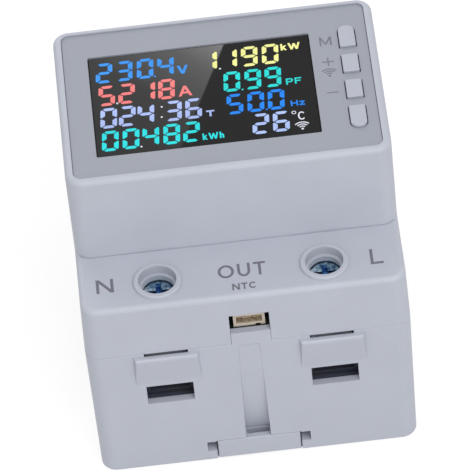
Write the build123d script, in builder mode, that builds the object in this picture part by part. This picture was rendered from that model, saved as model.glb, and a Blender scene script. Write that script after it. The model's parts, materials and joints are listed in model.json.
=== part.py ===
from build123d import *
import math
import os

os.makedirs("parts", exist_ok=True)

# A rail-mounted energy meter, in millimetres. +Z points out of the front panel, -Y to the
# output end, and the back rests on the plane Z = 0. The origin is the middle of the back.

# Housing
MODULE = 18.0
MODULE_COUNT = 4
WIDTH = MODULE * MODULE_COUNT
LENGTH = 83.8
PARTING_HEIGHT = 36.9
SHOULDER_RISE = 14.6
NOSE_RISE = 22.7
NOSE_LENGTH = 48.6
NOSE_TAPER = 0.45
FRONT_TAPER = 0.3
BACK_SIDE_TAPER = 0.43
BACK_END_TAPER = 0.2
CORNER_RADIUS = 3.5
RIM_RADIUS = 1.2
SHOULDER_RADIUS = 1.2
FOOT_LINE_WIDTH = 0.2
FOOT_LINE_DEPTH = 0.15
BACK_EDGE_RADIUS = 0.6
SEAM_EDGE = 0.15
FRONT_WALL = 2.0
BACK_WALL = 1.8
PANEL_WALL = 1.5
OVERRUN = 1.0

# Clearances
SEAM_GAP = 0.1
SLIDE_GAP = 0.2
GUIDE_GAP = 0.3
THREAD_GAP = 0.06
PLUNGER_GAP = 0.05

# Front panel and display
PANEL_SIDE_RIM = 1.8
PANEL_END_RIM = 1.45
PANEL_RECESS = 0.4
PANEL_THICKNESS = 1.0
PANEL_CORNER_RADIUS = 1.8
WINDOW_X = -3.675
WINDOW_Y = -0.65
WINDOW_WIDTH = 49.45
WINDOW_LENGTH = 31.7
WINDOW_CORNER_RADIUS = 0.4
LENS_LAP = 1.0
LENS_DROP = 0.3
LENS_EDGE = 0.15
LCD_BORDER = 1.9
LCD_END_BORDER = 0.85
LCD_GLASS_THICKNESS = 1.0
LCD_LEDGE = 1.6
BACKLIGHT_THICKNESS = 2.6
LCD_FRAME_WALL = 0.6
LCD_FRAME_FLOOR = 1.2
DISPLAY_BOARD_STANDOFF = 8.4
BOARD_THICKNESS = 1.6
BOARD_EDGE_GAP = 0.3

# Keys and their switches
KEY_X = 29.35
KEY_ROW_Y = -0.25
KEY_WIDTH = 3.6
KEY_LENGTH = 5.5
END_KEY_LENGTH = 6.6
KEY_SPACING = 2.65
KEY_PROUD = 0.6
KEY_CORNER_RADIUS = 0.35
KEY_ARCH_RADIUS = 1.6
KEY_EDGE_RADIUS = 0.25
KEY_SIDE_GAP = 0.22
KEY_END_GAP = 0.12
KEY_FLANGE_LAP = 0.8
KEY_FLANGE_THICKNESS = 0.8
KEY_STEM_RADIUS = 1.5
KEY_TRAVEL = 0.5
SWITCH_WIDTH = 6.2
SWITCH_HEIGHT = 3.5
SWITCH_EDGE = 0.4
PLUNGER_RADIUS = 1.7
PLUNGER_PROUD = 0.9
PLUNGER_DEPTH = 1.9

# Small screws that hold the boards
SMALL_SCREW_RADIUS = 0.9
SMALL_SCREW_HEAD_RADIUS = 1.7
SMALL_SCREW_HEAD = 1.2
SMALL_SCREW_LENGTH = 5.0
SMALL_BOSS_RADIUS = 1.6
DISPLAY_BOSS_X = 31.2
DISPLAY_BOSS_Y = 19.9
LARGE_SCREW_RADIUS = 1.2
LARGE_SCREW_HEAD_RADIUS = 2.2
LARGE_SCREW_HEAD = 1.8
LARGE_SCREW_LENGTH = 7.0
COLUMN_RADIUS = 2.6
COLUMN_X = 28.4
COLUMN_Y = 25.2
PILOT_GAP = 0.05
PASSING_GAP = 0.2
RECESS_SHARE = 0.5
RECESS_WIDTH_SHARE = 0.3

# Screw terminals
TERMINAL_X = 18.35
TERMINAL_Y = 34.45
LIP_HEIGHT = 0.8
LIP_RADIUS = 5.35
LIP_EDGE_RADIUS = 0.35
MOUTH_RADIUS = 4.2
MOUTH_DEPTH = 2.35
LEDGE_RADIUS = 3.5
LEDGE_DEPTH = 1.35
TUBE_LENGTH = 4.8
TUBE_WALL = 1.5
HEAD_RADIUS = 4.0
HEAD_HEIGHT = 3.0
HEAD_EDGE_RADIUS = 0.8
DRIVE_WIDTH = 1.2
DRIVE_SPAN = 5.0
DRIVE_DEPTH = 1.7
SHANK_RADIUS = 2.5
THREAD_PITCH = 0.8
THREAD_DEPTH = 0.4
THREAD_TURNS = 12
ENTRY_WIDTH = 10.4
ENTRY_HEIGHT = 5.6
ENTRY_FLOOR = 20.8
CAGE_WIDTH = 11.4
CAGE_LENGTH = 6.4
CAGE_STRAP = 1.2
CAGE_NUT = 3.0
CAGE_CORNER_RADIUS = 0.8
WIRE_ROOM = 6.2
CHAMBER_WALL = 1.5
CHAMBER_FLOOR = 1.6
LINER_WALL = 0.8
LINER_TOP_DROP = 1.2
BAR_WIDTH = 8.4
BAR_THICKNESS = 1.8
BAR_RELIEF = 0.6
SHUNT_LENGTH = 9.2

# Latch pads, snap hooks and the lap between the two mouldings
PAD_WIDTH = 14.8
PAD_SIDE_TAPER = 0.6
PAD_PROUD = 1.3
PAD_FLOOR = 26.5
PAD_LEDGE_DROP = 0.65
PAD_EDGE_RADIUS = 0.5
SLIT_WIDTH = 9.7
SLIT_HEIGHT = 0.5
SLIT_TROUGH = 2.5
HOOK_WIDTH = 9.0
HOOK_THICKNESS = 1.1
HOOK_LENGTH = 5.6
HOOK_BARB = 0.8
HOOK_BARB_HEIGHT = 1.6
HOOK_ROOT = 5.0
LAP_HEIGHT = 1.5
LAP_THICKNESS = 0.8

# Sensor socket
SOCKET_X = 0.6
SLOT_WIDTH = 8.85
SLOT_HEIGHT = 5.35
TONGUE_RISE = 0.25
TONGUE_THICKNESS = 1.6
TONGUE_GAP = 0.05
SOCKET_WIDTH = 7.0
SOCKET_HEIGHT = 3.7
SOCKET_LENGTH = 7.0
SOCKET_SETBACK = 0.6
SOCKET_WALL = 0.65
SOCKET_FLOOR = 0.9
SOCKET_DEPTH = 1.6
SOCKET_KEYWAY = 1.1
SOCKET_KEYWAY_SHIFT = 1.9
PIN_SPACING = 2.5
PIN_SIDE = 0.64

# Rail recess and clip
RAIL_SLOT = 35.5
RAIL_SEAT_HEIGHT = 5.9
RAIL_FLANGE_ROOM = 1.25
BACK_FLOOR = 2.0
FOOT_FLOOR = 2.0
HOOK_TIP_LOW = 0.95
HOOK_REACH = 1.55
FIXED_HOOK_WIDTH = 14.0
FIXED_HOOK_X = 22.0
HOOK_LEAD = 1.2
CLIP_WIDTH = 18.6
CLIP_THICKNESS = 5.5
CLIP_TRAVEL = 3.0
CLIP_SIDE_GAP = 0.25
CLIP_EDGE_RADIUS = 0.3
WING_WIDTH = 2.05
WING_HEIGHT = 2.5
WING_DROP = 0.2
WING_INSET = 4.0
GROOVE_INNER_STOP = 2.1
PRY_SLOT_WIDTH = 5.2
PRY_SLOT_LENGTH = 1.6
PRY_SLOT_DEPTH = 1.8
SPRING_POCKET_WIDTH = 4.2
SPRING_POCKET_DEPTH = 3.0
SPRING_SEAT_Y = 30.0
SPRING_SEAT_THICKNESS = 2.0
SPRING_LENGTH = 8.8
SPRING_MEAN_RADIUS = 1.1
SPRING_WIRE_RADIUS = 0.22
SPRING_TURNS = 8
SPRING_PIN_RADIUS = 0.55

# Ramped groove over the clip
GROOVE_DROP = 0.6
GROOVE_START = 28.5
GROOVE_STEPS = 8
GROOVE_TRACE = 0.1
GROOVE_DEPTH = 1.7
GROOVE_FOOT_DEPTH = 3.5
GROOVE_TOP_WIDTH = 4.7
GROOVE_BOTTOM_WIDTH = 5.6
GROOVE_BACKING = 2.5

# Boards and electrical parts
MAIN_BOARD_RISE = 1.6
MAIN_BOARD_WIDTH = 62.0
MAIN_BOARD_LENGTH = 56.6
MAIN_BOARD_TONGUE = 17.0
RELAY_WIDTH = 16.0
RELAY_LENGTH = 30.0
RELAY_HEIGHT = 21.1
RELAY_EDGE_RADIUS = 0.8
BLADE_LENGTH = 4.5
COIL_PIN_COUNT = 3
COIL_PIN_SPACING = 5.0
COIL_PIN_RADIUS = 0.4
LINK_PIN_COUNT = 6
LINK_SPACING = 2.54
LINK_X = -27.0
LINK_Y = 4.0
LINK_BODY_WIDTH = 2.5
LINK_HEADER_HEIGHT = 2.5
LINK_SOCKET_HEIGHT = 8.5
LINK_HOLE_GAP = 0.1
LINK_PIN_ENTRY = 6.0
TRANSFORMER_X = -18.0
TRANSFORMER_Y = 14.0
TRANSFORMER_SIDE = 13.0
TRANSFORMER_BASE = 2.0
TRANSFORMER_CORE_WIDTH = 6.0
TRANSFORMER_CORE_HEIGHT = 11.0
WINDING_RADIUS = 4.6
CAPACITOR_X = -15.0
CAPACITOR_Y = -12.0
CAPACITOR_RADIUS = 5.0
CAPACITOR_HEIGHT = 16.0
CAPACITOR_EDGE_RADIUS = 0.6
CAPACITOR_GROOVE = 0.4
FILTER_X = 3.0
FILTER_Y = 17.5
FILTER_WIDTH = 18.0
FILTER_LENGTH = 7.5
FILTER_HEIGHT = 12.5
FILTER_EDGE_RADIUS = 0.7
VARISTOR_X = 22.0
VARISTOR_Y = 18.0
VARISTOR_RADIUS = 5.5
VARISTOR_THICKNESS = 4.0
LEAD_HEIGHT = 2.0
LEAD_RADIUS = 0.4
FUSE_X = 20.0
FUSE_Y = 8.0
FUSE_RADIUS = 1.9
FUSE_LENGTH = 9.0
CHIP_X = 0.0
CHIP_Y = -4.0
CHIP_WIDTH = 10.3
CHIP_LENGTH = 7.5
CHIP_HEIGHT = 2.3
CHIP_STANDOFF = 0.2
CHIP_LEG_COUNT = 8
CHIP_LEG_SPACING = 1.27
CHIP_LEG_WIDTH = 0.4
CHIP_LEG_REACH = 1.3
WIRELESS_X = 17.0
WIRELESS_Y = -10.0
WIRELESS_WIDTH = 18.0
WIRELESS_LENGTH = 24.0
WIRELESS_BOARD = 0.8
SHIELD_WIDTH = 15.8
SHIELD_LENGTH = 17.0
SHIELD_HEIGHT = 2.2
SHIELD_EDGE_RADIUS = 0.4

# Places and sizes that follow from the ones above
SHOULDER_HEIGHT = PARTING_HEIGHT + SHOULDER_RISE
DEPTH = SHOULDER_HEIGHT + NOSE_RISE
HALF_WIDTH = WIDTH / 2
HALF_LENGTH = LENGTH / 2
NOSE_WIDTH = WIDTH - 2 * FRONT_TAPER
NOSE_FOOT_LENGTH = NOSE_LENGTH + 2 * NOSE_TAPER
NOSE_ROOT = SHOULDER_HEIGHT - 3 * SHOULDER_RADIUS
NOSE_ROOT_WIDTH = WIDTH - 2 * FRONT_TAPER * (NOSE_ROOT - PARTING_HEIGHT) / SHOULDER_RISE
SHOULDER_LENGTH = LENGTH - 2 * FRONT_TAPER
CAVITY_WIDTH = NOSE_WIDTH - 2 * FRONT_WALL
CAVITY_LENGTH = SHOULDER_LENGTH - 2 * FRONT_WALL
NOSE_CAVITY_LENGTH = NOSE_LENGTH - 2 * FRONT_WALL
INNER_RADIUS = CORNER_RADIUS - FRONT_WALL
BACK_CAVITY_WIDTH = WIDTH - 2 * (BACK_SIDE_TAPER + BACK_WALL)
BACK_CAVITY_LENGTH = LENGTH - 2 * BACK_WALL
BACK_CAVITY_HALF = BACK_CAVITY_LENGTH / 2

PANEL_TOP = DEPTH - PANEL_RECESS
PANEL_SEAT = PANEL_TOP - PANEL_THICKNESS
PANEL_UNDERSIDE = PANEL_SEAT - PANEL_WALL
PANEL_WIDTH = NOSE_WIDTH - 2 * PANEL_SIDE_RIM
PANEL_LENGTH = NOSE_LENGTH - 2 * PANEL_END_RIM
LENS_WIDTH = WINDOW_WIDTH + 2 * LENS_LAP
LENS_LENGTH = WINDOW_LENGTH + 2 * LENS_LAP
LCD_WIDTH = WINDOW_WIDTH + 2 * LCD_BORDER
LCD_LENGTH = WINDOW_LENGTH + 2 * LCD_END_BORDER
LCD_TOP = PANEL_UNDERSIDE - SEAM_GAP
LCD_BOTTOM = LCD_TOP - 2 * LCD_GLASS_THICKNESS
BACKLIGHT_BOTTOM = LCD_BOTTOM - BACKLIGHT_THICKNESS
DISPLAY_BOARD_BOTTOM = PANEL_UNDERSIDE - DISPLAY_BOARD_STANDOFF
DISPLAY_BOARD_TOP = DISPLAY_BOARD_BOTTOM + BOARD_THICKNESS

KEY_TOP = PANEL_TOP + KEY_PROUD
KEY_FLANGE_TOP = PANEL_UNDERSIDE - SEAM_GAP
KEY_FLANGE_BOTTOM = KEY_FLANGE_TOP - KEY_FLANGE_THICKNESS
SWITCH_TOP = DISPLAY_BOARD_TOP + SWITCH_HEIGHT
PLUNGER_TOP = SWITCH_TOP + PLUNGER_PROUD
PLUNGER_BOTTOM = SWITCH_TOP - PLUNGER_DEPTH

MOUTH_TOP = SHOULDER_HEIGHT + LIP_HEIGHT
LEDGE_TOP = MOUTH_TOP - MOUTH_DEPTH
LEDGE_BOTTOM = LEDGE_TOP - LEDGE_DEPTH
TUBE_BOTTOM = LEDGE_BOTTOM - TUBE_LENGTH
TUBE_BORE_RADIUS = HEAD_RADIUS + GUIDE_GAP
HEAD_TOP = LEDGE_BOTTOM - GUIDE_GAP
HEAD_BOTTOM = HEAD_TOP - HEAD_HEIGHT
CAGE_FLOOR_TOP = ENTRY_FLOOR - SEAM_GAP
CAGE_BOTTOM = CAGE_FLOOR_TOP - CAGE_STRAP
BAR_BOTTOM = CAGE_FLOOR_TOP + WIRE_ROOM + SEAM_GAP
BAR_TOP = BAR_BOTTOM + BAR_THICKNESS
SHANK_BOTTOM = BAR_TOP + GUIDE_GAP
NUT_BOTTOM = SHANK_BOTTOM + BAR_RELIEF + GUIDE_GAP
CAGE_TOP = NUT_BOTTOM + CAGE_NUT
LINER_WIDTH = CAGE_WIDTH + 2 * (GUIDE_GAP + LINER_WALL)
LINER_BACK = TERMINAL_Y - CAGE_LENGTH / 2 - GUIDE_GAP - LINER_WALL
LINER_BASE = CAGE_BOTTOM - GUIDE_GAP - LINER_WALL
CHAMBER_WIDTH = LINER_WIDTH + 2 * SEAM_GAP
CHAMBER_BACK = LINER_BACK - SEAM_GAP
CHAMBER_BASE = LINER_BASE - SEAM_GAP
BAR_END = TERMINAL_Y + CAGE_LENGTH / 2 - SLIDE_GAP
ENTRY_TOP = ENTRY_FLOOR + ENTRY_HEIGHT

MAIN_BOARD_HEIGHT = PARTING_HEIGHT + MAIN_BOARD_RISE
MAIN_BOARD_TOP = MAIN_BOARD_HEIGHT + BOARD_THICKNESS
TONGUE_TOP = MAIN_BOARD_TOP + TONGUE_RISE
SLOT_TOP = TONGUE_TOP + SLOT_HEIGHT
GROOVE_TOP = PARTING_HEIGHT - GROOVE_DROP
TUB_FLOOR = RAIL_SEAT_HEIGHT + BACK_FLOOR
HALF_RAIL = RAIL_SLOT / 2
CLIP_CEILING = RAIL_SEAT_HEIGHT + SLIDE_GAP
CLIP_TOP = CLIP_CEILING - SLIDE_GAP
CLIP_BOTTOM = CLIP_TOP - CLIP_THICKNESS
RAIL_HOOK_TOP = RAIL_SEAT_HEIGHT - RAIL_FLANGE_ROOM
WING_TOP = CLIP_TOP - WING_DROP
WING_BOTTOM = WING_TOP - WING_HEIGHT
CHANNEL_HALF = CLIP_WIDTH / 2 + CLIP_SIDE_GAP
WING_CHANNEL_HALF = CLIP_WIDTH / 2 + WING_WIDTH + CLIP_SIDE_GAP
END_FACE_AT_CLIP = HALF_LENGTH - BACK_END_TAPER
GROOVE_STOP = HALF_RAIL + GROOVE_INNER_STOP
PAD_TOP = PARTING_HEIGHT - PAD_LEDGE_DROP
PAD_SIDE_REACH = (PAD_PROUD + BACK_END_TAPER + OVERRUN) / (PAD_PROUD + BACK_END_TAPER)
ENDS = (("out", -1), ("in", 1))
POLES = (("neutral", -1), ("live", 1))

# Each key: its name, where it starts and ends along Y, and which end is arched, 1 for the far one
KEYS = (
    ("menu", KEY_ROW_Y + 1.5 * KEY_SPACING + KEY_LENGTH,
     KEY_ROW_Y + 1.5 * KEY_SPACING + KEY_LENGTH + END_KEY_LENGTH, 1),
    ("plus", KEY_ROW_Y + KEY_SPACING / 2, KEY_ROW_Y + KEY_SPACING / 2 + KEY_LENGTH, 0),
    ("minus", KEY_ROW_Y - KEY_SPACING / 2 - KEY_LENGTH, KEY_ROW_Y - KEY_SPACING / 2, 0),
    ("power", KEY_ROW_Y - 1.5 * KEY_SPACING - KEY_LENGTH - END_KEY_LENGTH,
     KEY_ROW_Y - 1.5 * KEY_SPACING - KEY_LENGTH, -1),
)


def span_box(x_span, y_span, z_span, mode=Mode.ADD):
    """A box between low and high values along each axis, for the part being built."""
    middle = [(low + high) / 2 for low, high in (x_span, y_span, z_span)]
    size = [high - low for low, high in (x_span, y_span, z_span)]
    with Locations(tuple(middle)):
        Box(*size, mode=mode)


def upright(x, y, radius, z_low, z_high, mode=Mode.ADD):
    """An upright cylinder between two heights, for the part being built."""
    with Locations((x, y, z_low)):
        Cylinder(radius, z_high - z_low, align=(Align.CENTER, Align.CENTER, Align.MIN), mode=mode)


def end_span(sign, near, far):
    """The Y span between two distances from the middle, at the end that sign names."""
    return tuple(sorted((sign * near, sign * far)))


def save(part, label):
    part.label = label
    export_step(part, f"parts/{label}.step")


# Front cover: shoulders and nose in one moulding, open below
with BuildPart() as front_cover:
    with BuildSketch(Plane.XY.offset(PARTING_HEIGHT)):
        RectangleRounded(WIDTH - 2 * SEAM_EDGE, LENGTH - 2 * SEAM_EDGE, CORNER_RADIUS - SEAM_EDGE)
    with BuildSketch(Plane.XY.offset(PARTING_HEIGHT + SEAM_EDGE)):
        RectangleRounded(WIDTH, LENGTH, CORNER_RADIUS)
    with BuildSketch(Plane.XY.offset(SHOULDER_HEIGHT)):
        RectangleRounded(NOSE_WIDTH, SHOULDER_LENGTH, CORNER_RADIUS)
    loft(ruled=True)
    fillet(front_cover.faces().sort_by(Axis.Z)[-1].edges(), SHOULDER_RADIUS)
    with BuildSketch(Plane.XY.offset(NOSE_ROOT)):
        RectangleRounded(NOSE_ROOT_WIDTH, NOSE_FOOT_LENGTH, CORNER_RADIUS)
    with BuildSketch(Plane.XY.offset(SHOULDER_HEIGHT)):
        RectangleRounded(NOSE_WIDTH, NOSE_FOOT_LENGTH, CORNER_RADIUS)
    with BuildSketch(Plane.XY.offset(DEPTH)):
        RectangleRounded(NOSE_WIDTH, NOSE_LENGTH, CORNER_RADIUS)
    loft(ruled=True)
    fillet(front_cover.faces().sort_by(Axis.Z)[-1].edges(), RIM_RADIUS)

    # fine line along the nose's foot, on both shoulders
    with BuildSketch(Plane.XY.offset(SHOULDER_HEIGHT - FOOT_LINE_DEPTH)):
        RectangleRounded(NOSE_WIDTH + 2 * FOOT_LINE_WIDTH, NOSE_FOOT_LENGTH + 2 * FOOT_LINE_WIDTH,
                         CORNER_RADIUS + FOOT_LINE_WIDTH)
        RectangleRounded(NOSE_WIDTH, NOSE_FOOT_LENGTH, CORNER_RADIUS, mode=Mode.SUBTRACT)
        Rectangle(WIDTH + OVERRUN, NOSE_FOOT_LENGTH - CORNER_RADIUS, mode=Mode.SUBTRACT)
    extrude(amount=FOOT_LINE_DEPTH + OVERRUN, mode=Mode.SUBTRACT)

    # lips round the screw holes
    for end, end_sign in ENDS:
        for pole, pole_sign in POLES:
            upright(pole_sign * TERMINAL_X, end_sign * TERMINAL_Y, LIP_RADIUS,
                    SHOULDER_HEIGHT - OVERRUN, MOUTH_TOP)
    lip_edges = front_cover.edges().filter_by(GeomType.CIRCLE)
    lip_edges = lip_edges.filter_by_position(Axis.Z, MOUTH_TOP, MOUTH_TOP)
    fillet(lip_edges, LIP_EDGE_RADIUS)

    # hollow under the shoulders and in the nose
    with BuildSketch(Plane.XY.offset(PARTING_HEIGHT)):
        RectangleRounded(CAVITY_WIDTH, CAVITY_LENGTH, INNER_RADIUS)
    extrude(amount=SHOULDER_HEIGHT - FRONT_WALL - PARTING_HEIGHT, mode=Mode.SUBTRACT)
    with BuildSketch(Plane.XY.offset(PARTING_HEIGHT)):
        RectangleRounded(CAVITY_WIDTH, NOSE_CAVITY_LENGTH, INNER_RADIUS)
    extrude(amount=PANEL_UNDERSIDE - PARTING_HEIGHT, mode=Mode.SUBTRACT)

    # recess for the face plate, opening for the lens and slots for the keys
    with BuildSketch(Plane.XY.offset(PANEL_SEAT)):
        RectangleRounded(PANEL_WIDTH, PANEL_LENGTH, PANEL_CORNER_RADIUS)
    extrude(amount=DEPTH - PANEL_SEAT + OVERRUN, mode=Mode.SUBTRACT)
    with Locations((WINDOW_X, WINDOW_Y, PANEL_SEAT)):
        Box(LENS_WIDTH + 2 * SEAM_GAP, LENS_LENGTH + 2 * SEAM_GAP, 2 * (PANEL_WALL + SEAM_GAP),
            mode=Mode.SUBTRACT)
    for key_name, key_low, key_high, arched in KEYS:
        span_box((KEY_X - KEY_WIDTH / 2 - KEY_SIDE_GAP, KEY_X + KEY_WIDTH / 2 + KEY_SIDE_GAP),
                 (key_low - KEY_END_GAP, key_high + KEY_END_GAP),
                 (PANEL_UNDERSIDE - OVERRUN, PANEL_SEAT + OVERRUN), Mode.SUBTRACT)

    # bosses for the display board
    for boss_x in (-DISPLAY_BOSS_X, DISPLAY_BOSS_X):
        for boss_y in (-DISPLAY_BOSS_Y, DISPLAY_BOSS_Y):
            upright(boss_x, boss_y, SMALL_BOSS_RADIUS, DISPLAY_BOARD_TOP, PANEL_UNDERSIDE + SEAM_GAP)
            upright(boss_x, boss_y, SMALL_SCREW_RADIUS + PILOT_GAP, DISPLAY_BOARD_TOP - OVERRUN,
                    PANEL_UNDERSIDE - SEAM_GAP, Mode.SUBTRACT)

    # tubes that trap the screw heads under a ledge
    for end, end_sign in ENDS:
        for pole, pole_sign in POLES:
            tube_x = pole_sign * TERMINAL_X
            tube_y = end_sign * TERMINAL_Y
            upright(tube_x, tube_y, TUBE_BORE_RADIUS + TUBE_WALL, TUBE_BOTTOM,
                    SHOULDER_HEIGHT - FRONT_WALL / 2)
            upright(tube_x, tube_y, TUBE_BORE_RADIUS, TUBE_BOTTOM - OVERRUN, LEDGE_BOTTOM,
                    Mode.SUBTRACT)
            upright(tube_x, tube_y, LEDGE_RADIUS, TUBE_BOTTOM, MOUTH_TOP, Mode.SUBTRACT)
            upright(tube_x, tube_y, MOUTH_RADIUS, LEDGE_TOP, MOUTH_TOP + OVERRUN, Mode.SUBTRACT)

    # the lap: the inner half of the wall is cut back for the rear housing's lip
    with BuildSketch(Plane.XY.offset(PARTING_HEIGHT - OVERRUN)):
        RectangleRounded(BACK_CAVITY_WIDTH + 2 * (LAP_THICKNESS + SEAM_GAP),
                         BACK_CAVITY_LENGTH + 2 * (LAP_THICKNESS + SEAM_GAP), INNER_RADIUS)
    extrude(amount=LAP_HEIGHT + SEAM_GAP + OVERRUN, mode=Mode.SUBTRACT)

    # snap hooks that reach down into the rear housing behind its latch pads
    for end, end_sign in ENDS:
        for pole, pole_sign in POLES:
            hook_face = BACK_CAVITY_HALF - SLIDE_GAP
            hook_back = hook_face - HOOK_THICKNESS
            hook_low = PARTING_HEIGHT - HOOK_LENGTH
            hook_span = (pole_sign * TERMINAL_X - HOOK_WIDTH / 2, pole_sign * TERMINAL_X + HOOK_WIDTH / 2)
            span_box(hook_span, end_span(end_sign, hook_back, hook_face),
                     (hook_low, PARTING_HEIGHT + HOOK_ROOT))
            with BuildSketch(Plane.YZ.offset(hook_span[0])):
                with BuildLine():
                    Polyline((end_sign * (hook_face - HOOK_THICKNESS / 2), hook_low),
                             (end_sign * hook_face, hook_low),
                             (end_sign * (hook_face + HOOK_BARB), hook_low + HOOK_BARB_HEIGHT),
                             (end_sign * (hook_face - HOOK_THICKNESS / 2), hook_low + HOOK_BARB_HEIGHT),
                             close=True)
                make_face()
            extrude(amount=HOOK_WIDTH)

    # slot for the sensor plug, open at the seam, where the rear housing's tongue fills it
    span_box((SOCKET_X - SLOT_WIDTH / 2, SOCKET_X + SLOT_WIDTH / 2),
             end_span(-1, CAVITY_LENGTH / 2 - OVERRUN, HALF_LENGTH + OVERRUN),
             (PARTING_HEIGHT - OVERRUN, SLOT_TOP), Mode.SUBTRACT)

save(front_cover.part, "front_cover")


# Face plate: the recessed panel, with the display window and the key slots
with BuildPart() as face_plate:
    with BuildSketch(Plane.XY.offset(PANEL_SEAT)):
        RectangleRounded(PANEL_WIDTH - 2 * SEAM_GAP, PANEL_LENGTH - 2 * SEAM_GAP,
                         PANEL_CORNER_RADIUS - SEAM_GAP)
        with Locations((WINDOW_X, WINDOW_Y)):
            RectangleRounded(WINDOW_WIDTH, WINDOW_LENGTH, WINDOW_CORNER_RADIUS, mode=Mode.SUBTRACT)
    extrude(amount=PANEL_THICKNESS)
    for key_name, key_low, key_high, arched in KEYS:
        arch = KEY_ARCH_RADIUS + KEY_END_GAP
        with BuildSketch(Plane.XY.offset(PANEL_SEAT)) as slot:
            with Locations((KEY_X, (key_low + key_high) / 2)):
                Rectangle(KEY_WIDTH + 2 * KEY_SIDE_GAP, key_high - key_low + 2 * KEY_END_GAP)
            if arched:
                fillet(slot.vertices().group_by(Axis.Y)[-((arched + 1) // 2)], arch)
        extrude(amount=PANEL_THICKNESS, mode=Mode.SUBTRACT)

save(face_plate.part, "face_plate")


# Window of dark clear plastic, its rim under the face plate and its raised middle in the opening
with BuildPart() as display_window:
    with BuildSketch(Plane.XY.offset(PANEL_UNDERSIDE)):
        with Locations((WINDOW_X, WINDOW_Y)):
            RectangleRounded(LENS_WIDTH, LENS_LENGTH, WINDOW_CORNER_RADIUS)
    extrude(amount=PANEL_WALL)
    with BuildSketch(Plane.XY.offset(PANEL_SEAT)):
        with Locations((WINDOW_X, WINDOW_Y)):
            RectangleRounded(WINDOW_WIDTH - 2 * SEAM_GAP, WINDOW_LENGTH - 2 * SEAM_GAP,
                             WINDOW_CORNER_RADIUS - SEAM_GAP)
    extrude(amount=PANEL_THICKNESS - LENS_DROP)
    chamfer(display_window.faces().sort_by(Axis.Z)[-1].edges(), LENS_EDGE)

save(display_window.part, "display_window")


# Display glass: two sheets, the lower one longer to carry its contacts
with BuildPart() as lcd_panel:
    with BuildSketch(Plane.XY.offset(LCD_BOTTOM)):
        with Locations((WINDOW_X, WINDOW_Y)):
            Rectangle(LCD_WIDTH, LCD_LENGTH)
    extrude(amount=LCD_GLASS_THICKNESS)
    with BuildSketch(Plane.XY.offset(LCD_BOTTOM + LCD_GLASS_THICKNESS)):
        with Locations((WINDOW_X, WINDOW_Y + LCD_LEDGE / 4)):
            Rectangle(LCD_WIDTH, LCD_LENGTH - LCD_LEDGE / 2)
    extrude(amount=LCD_GLASS_THICKNESS)

save(lcd_panel.part, "lcd_panel")


# Backlight: a light guide with the lamp housing along one side
with BuildPart() as backlight:
    with BuildSketch(Plane.XY.offset(BACKLIGHT_BOTTOM)):
        with Locations((WINDOW_X, WINDOW_Y)):
            Rectangle(LCD_WIDTH, LCD_LENGTH)
    extrude(amount=BACKLIGHT_THICKNESS)
    chamfer(backlight.edges().filter_by(Axis.Z), LCD_FRAME_WALL)

save(backlight.part, "backlight")


# Display frame: a tray round the glass and the backlight, on feet that reach the board
with BuildPart() as lcd_frame:
    frame_width = LCD_WIDTH + 2 * (SEAM_GAP + LCD_FRAME_WALL)
    frame_length = LCD_LENGTH + 2 * (SEAM_GAP + LCD_FRAME_WALL)
    frame_floor = BACKLIGHT_BOTTOM - LCD_FRAME_FLOOR
    with BuildSketch(Plane.XY.offset(frame_floor)):
        with Locations((WINDOW_X, WINDOW_Y)):
            Rectangle(frame_width, frame_length)
    extrude(amount=LCD_TOP - frame_floor - LCD_GLASS_THICKNESS / 2)
    with Locations((WINDOW_X, WINDOW_Y, BACKLIGHT_BOTTOM)):
        Box(LCD_WIDTH + 2 * SEAM_GAP, LCD_LENGTH + 2 * SEAM_GAP, LCD_TOP - BACKLIGHT_BOTTOM,
            align=(Align.CENTER, Align.CENTER, Align.MIN), mode=Mode.SUBTRACT)
    with Locations((WINDOW_X, WINDOW_Y, BACKLIGHT_BOTTOM)):
        Box(WINDOW_WIDTH, WINDOW_LENGTH, 2 * (LCD_FRAME_FLOOR + OVERRUN), mode=Mode.SUBTRACT)
    for foot_x in (-1, 1):
        for foot_y in (-1, 1):
            x_outer = WINDOW_X + foot_x * frame_width / 2
            x_inner = WINDOW_X + foot_x * (WINDOW_WIDTH / 2)
            y_outer = WINDOW_Y + foot_y * frame_length / 2
            y_inner = WINDOW_Y + foot_y * (WINDOW_LENGTH / 2)
            span_box(sorted((x_outer, x_inner)), sorted((y_outer, y_inner)),
                     (DISPLAY_BOARD_TOP, frame_floor))

save(lcd_frame.part, "lcd_frame")


# Display board, with holes for its screws
with BuildPart() as display_board:
    with BuildSketch(Plane.XY.offset(DISPLAY_BOARD_BOTTOM)):
        Rectangle(CAVITY_WIDTH - 2 * BOARD_EDGE_GAP, NOSE_CAVITY_LENGTH - 2 * BOARD_EDGE_GAP)
        with GridLocations(2 * DISPLAY_BOSS_X, 2 * DISPLAY_BOSS_Y, 2, 2):
            Circle(SMALL_SCREW_RADIUS + PASSING_GAP, mode=Mode.SUBTRACT)
    extrude(amount=BOARD_THICKNESS)
    chamfer(display_board.edges().filter_by(Axis.Z).filter_by(GeomType.LINE).group_by(Axis.X)[0],
            FRONT_WALL / 2)
    chamfer(display_board.edges().filter_by(Axis.Z).filter_by(GeomType.LINE).group_by(Axis.X)[-1],
            FRONT_WALL / 2)

save(display_board.part, "display_board")


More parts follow.
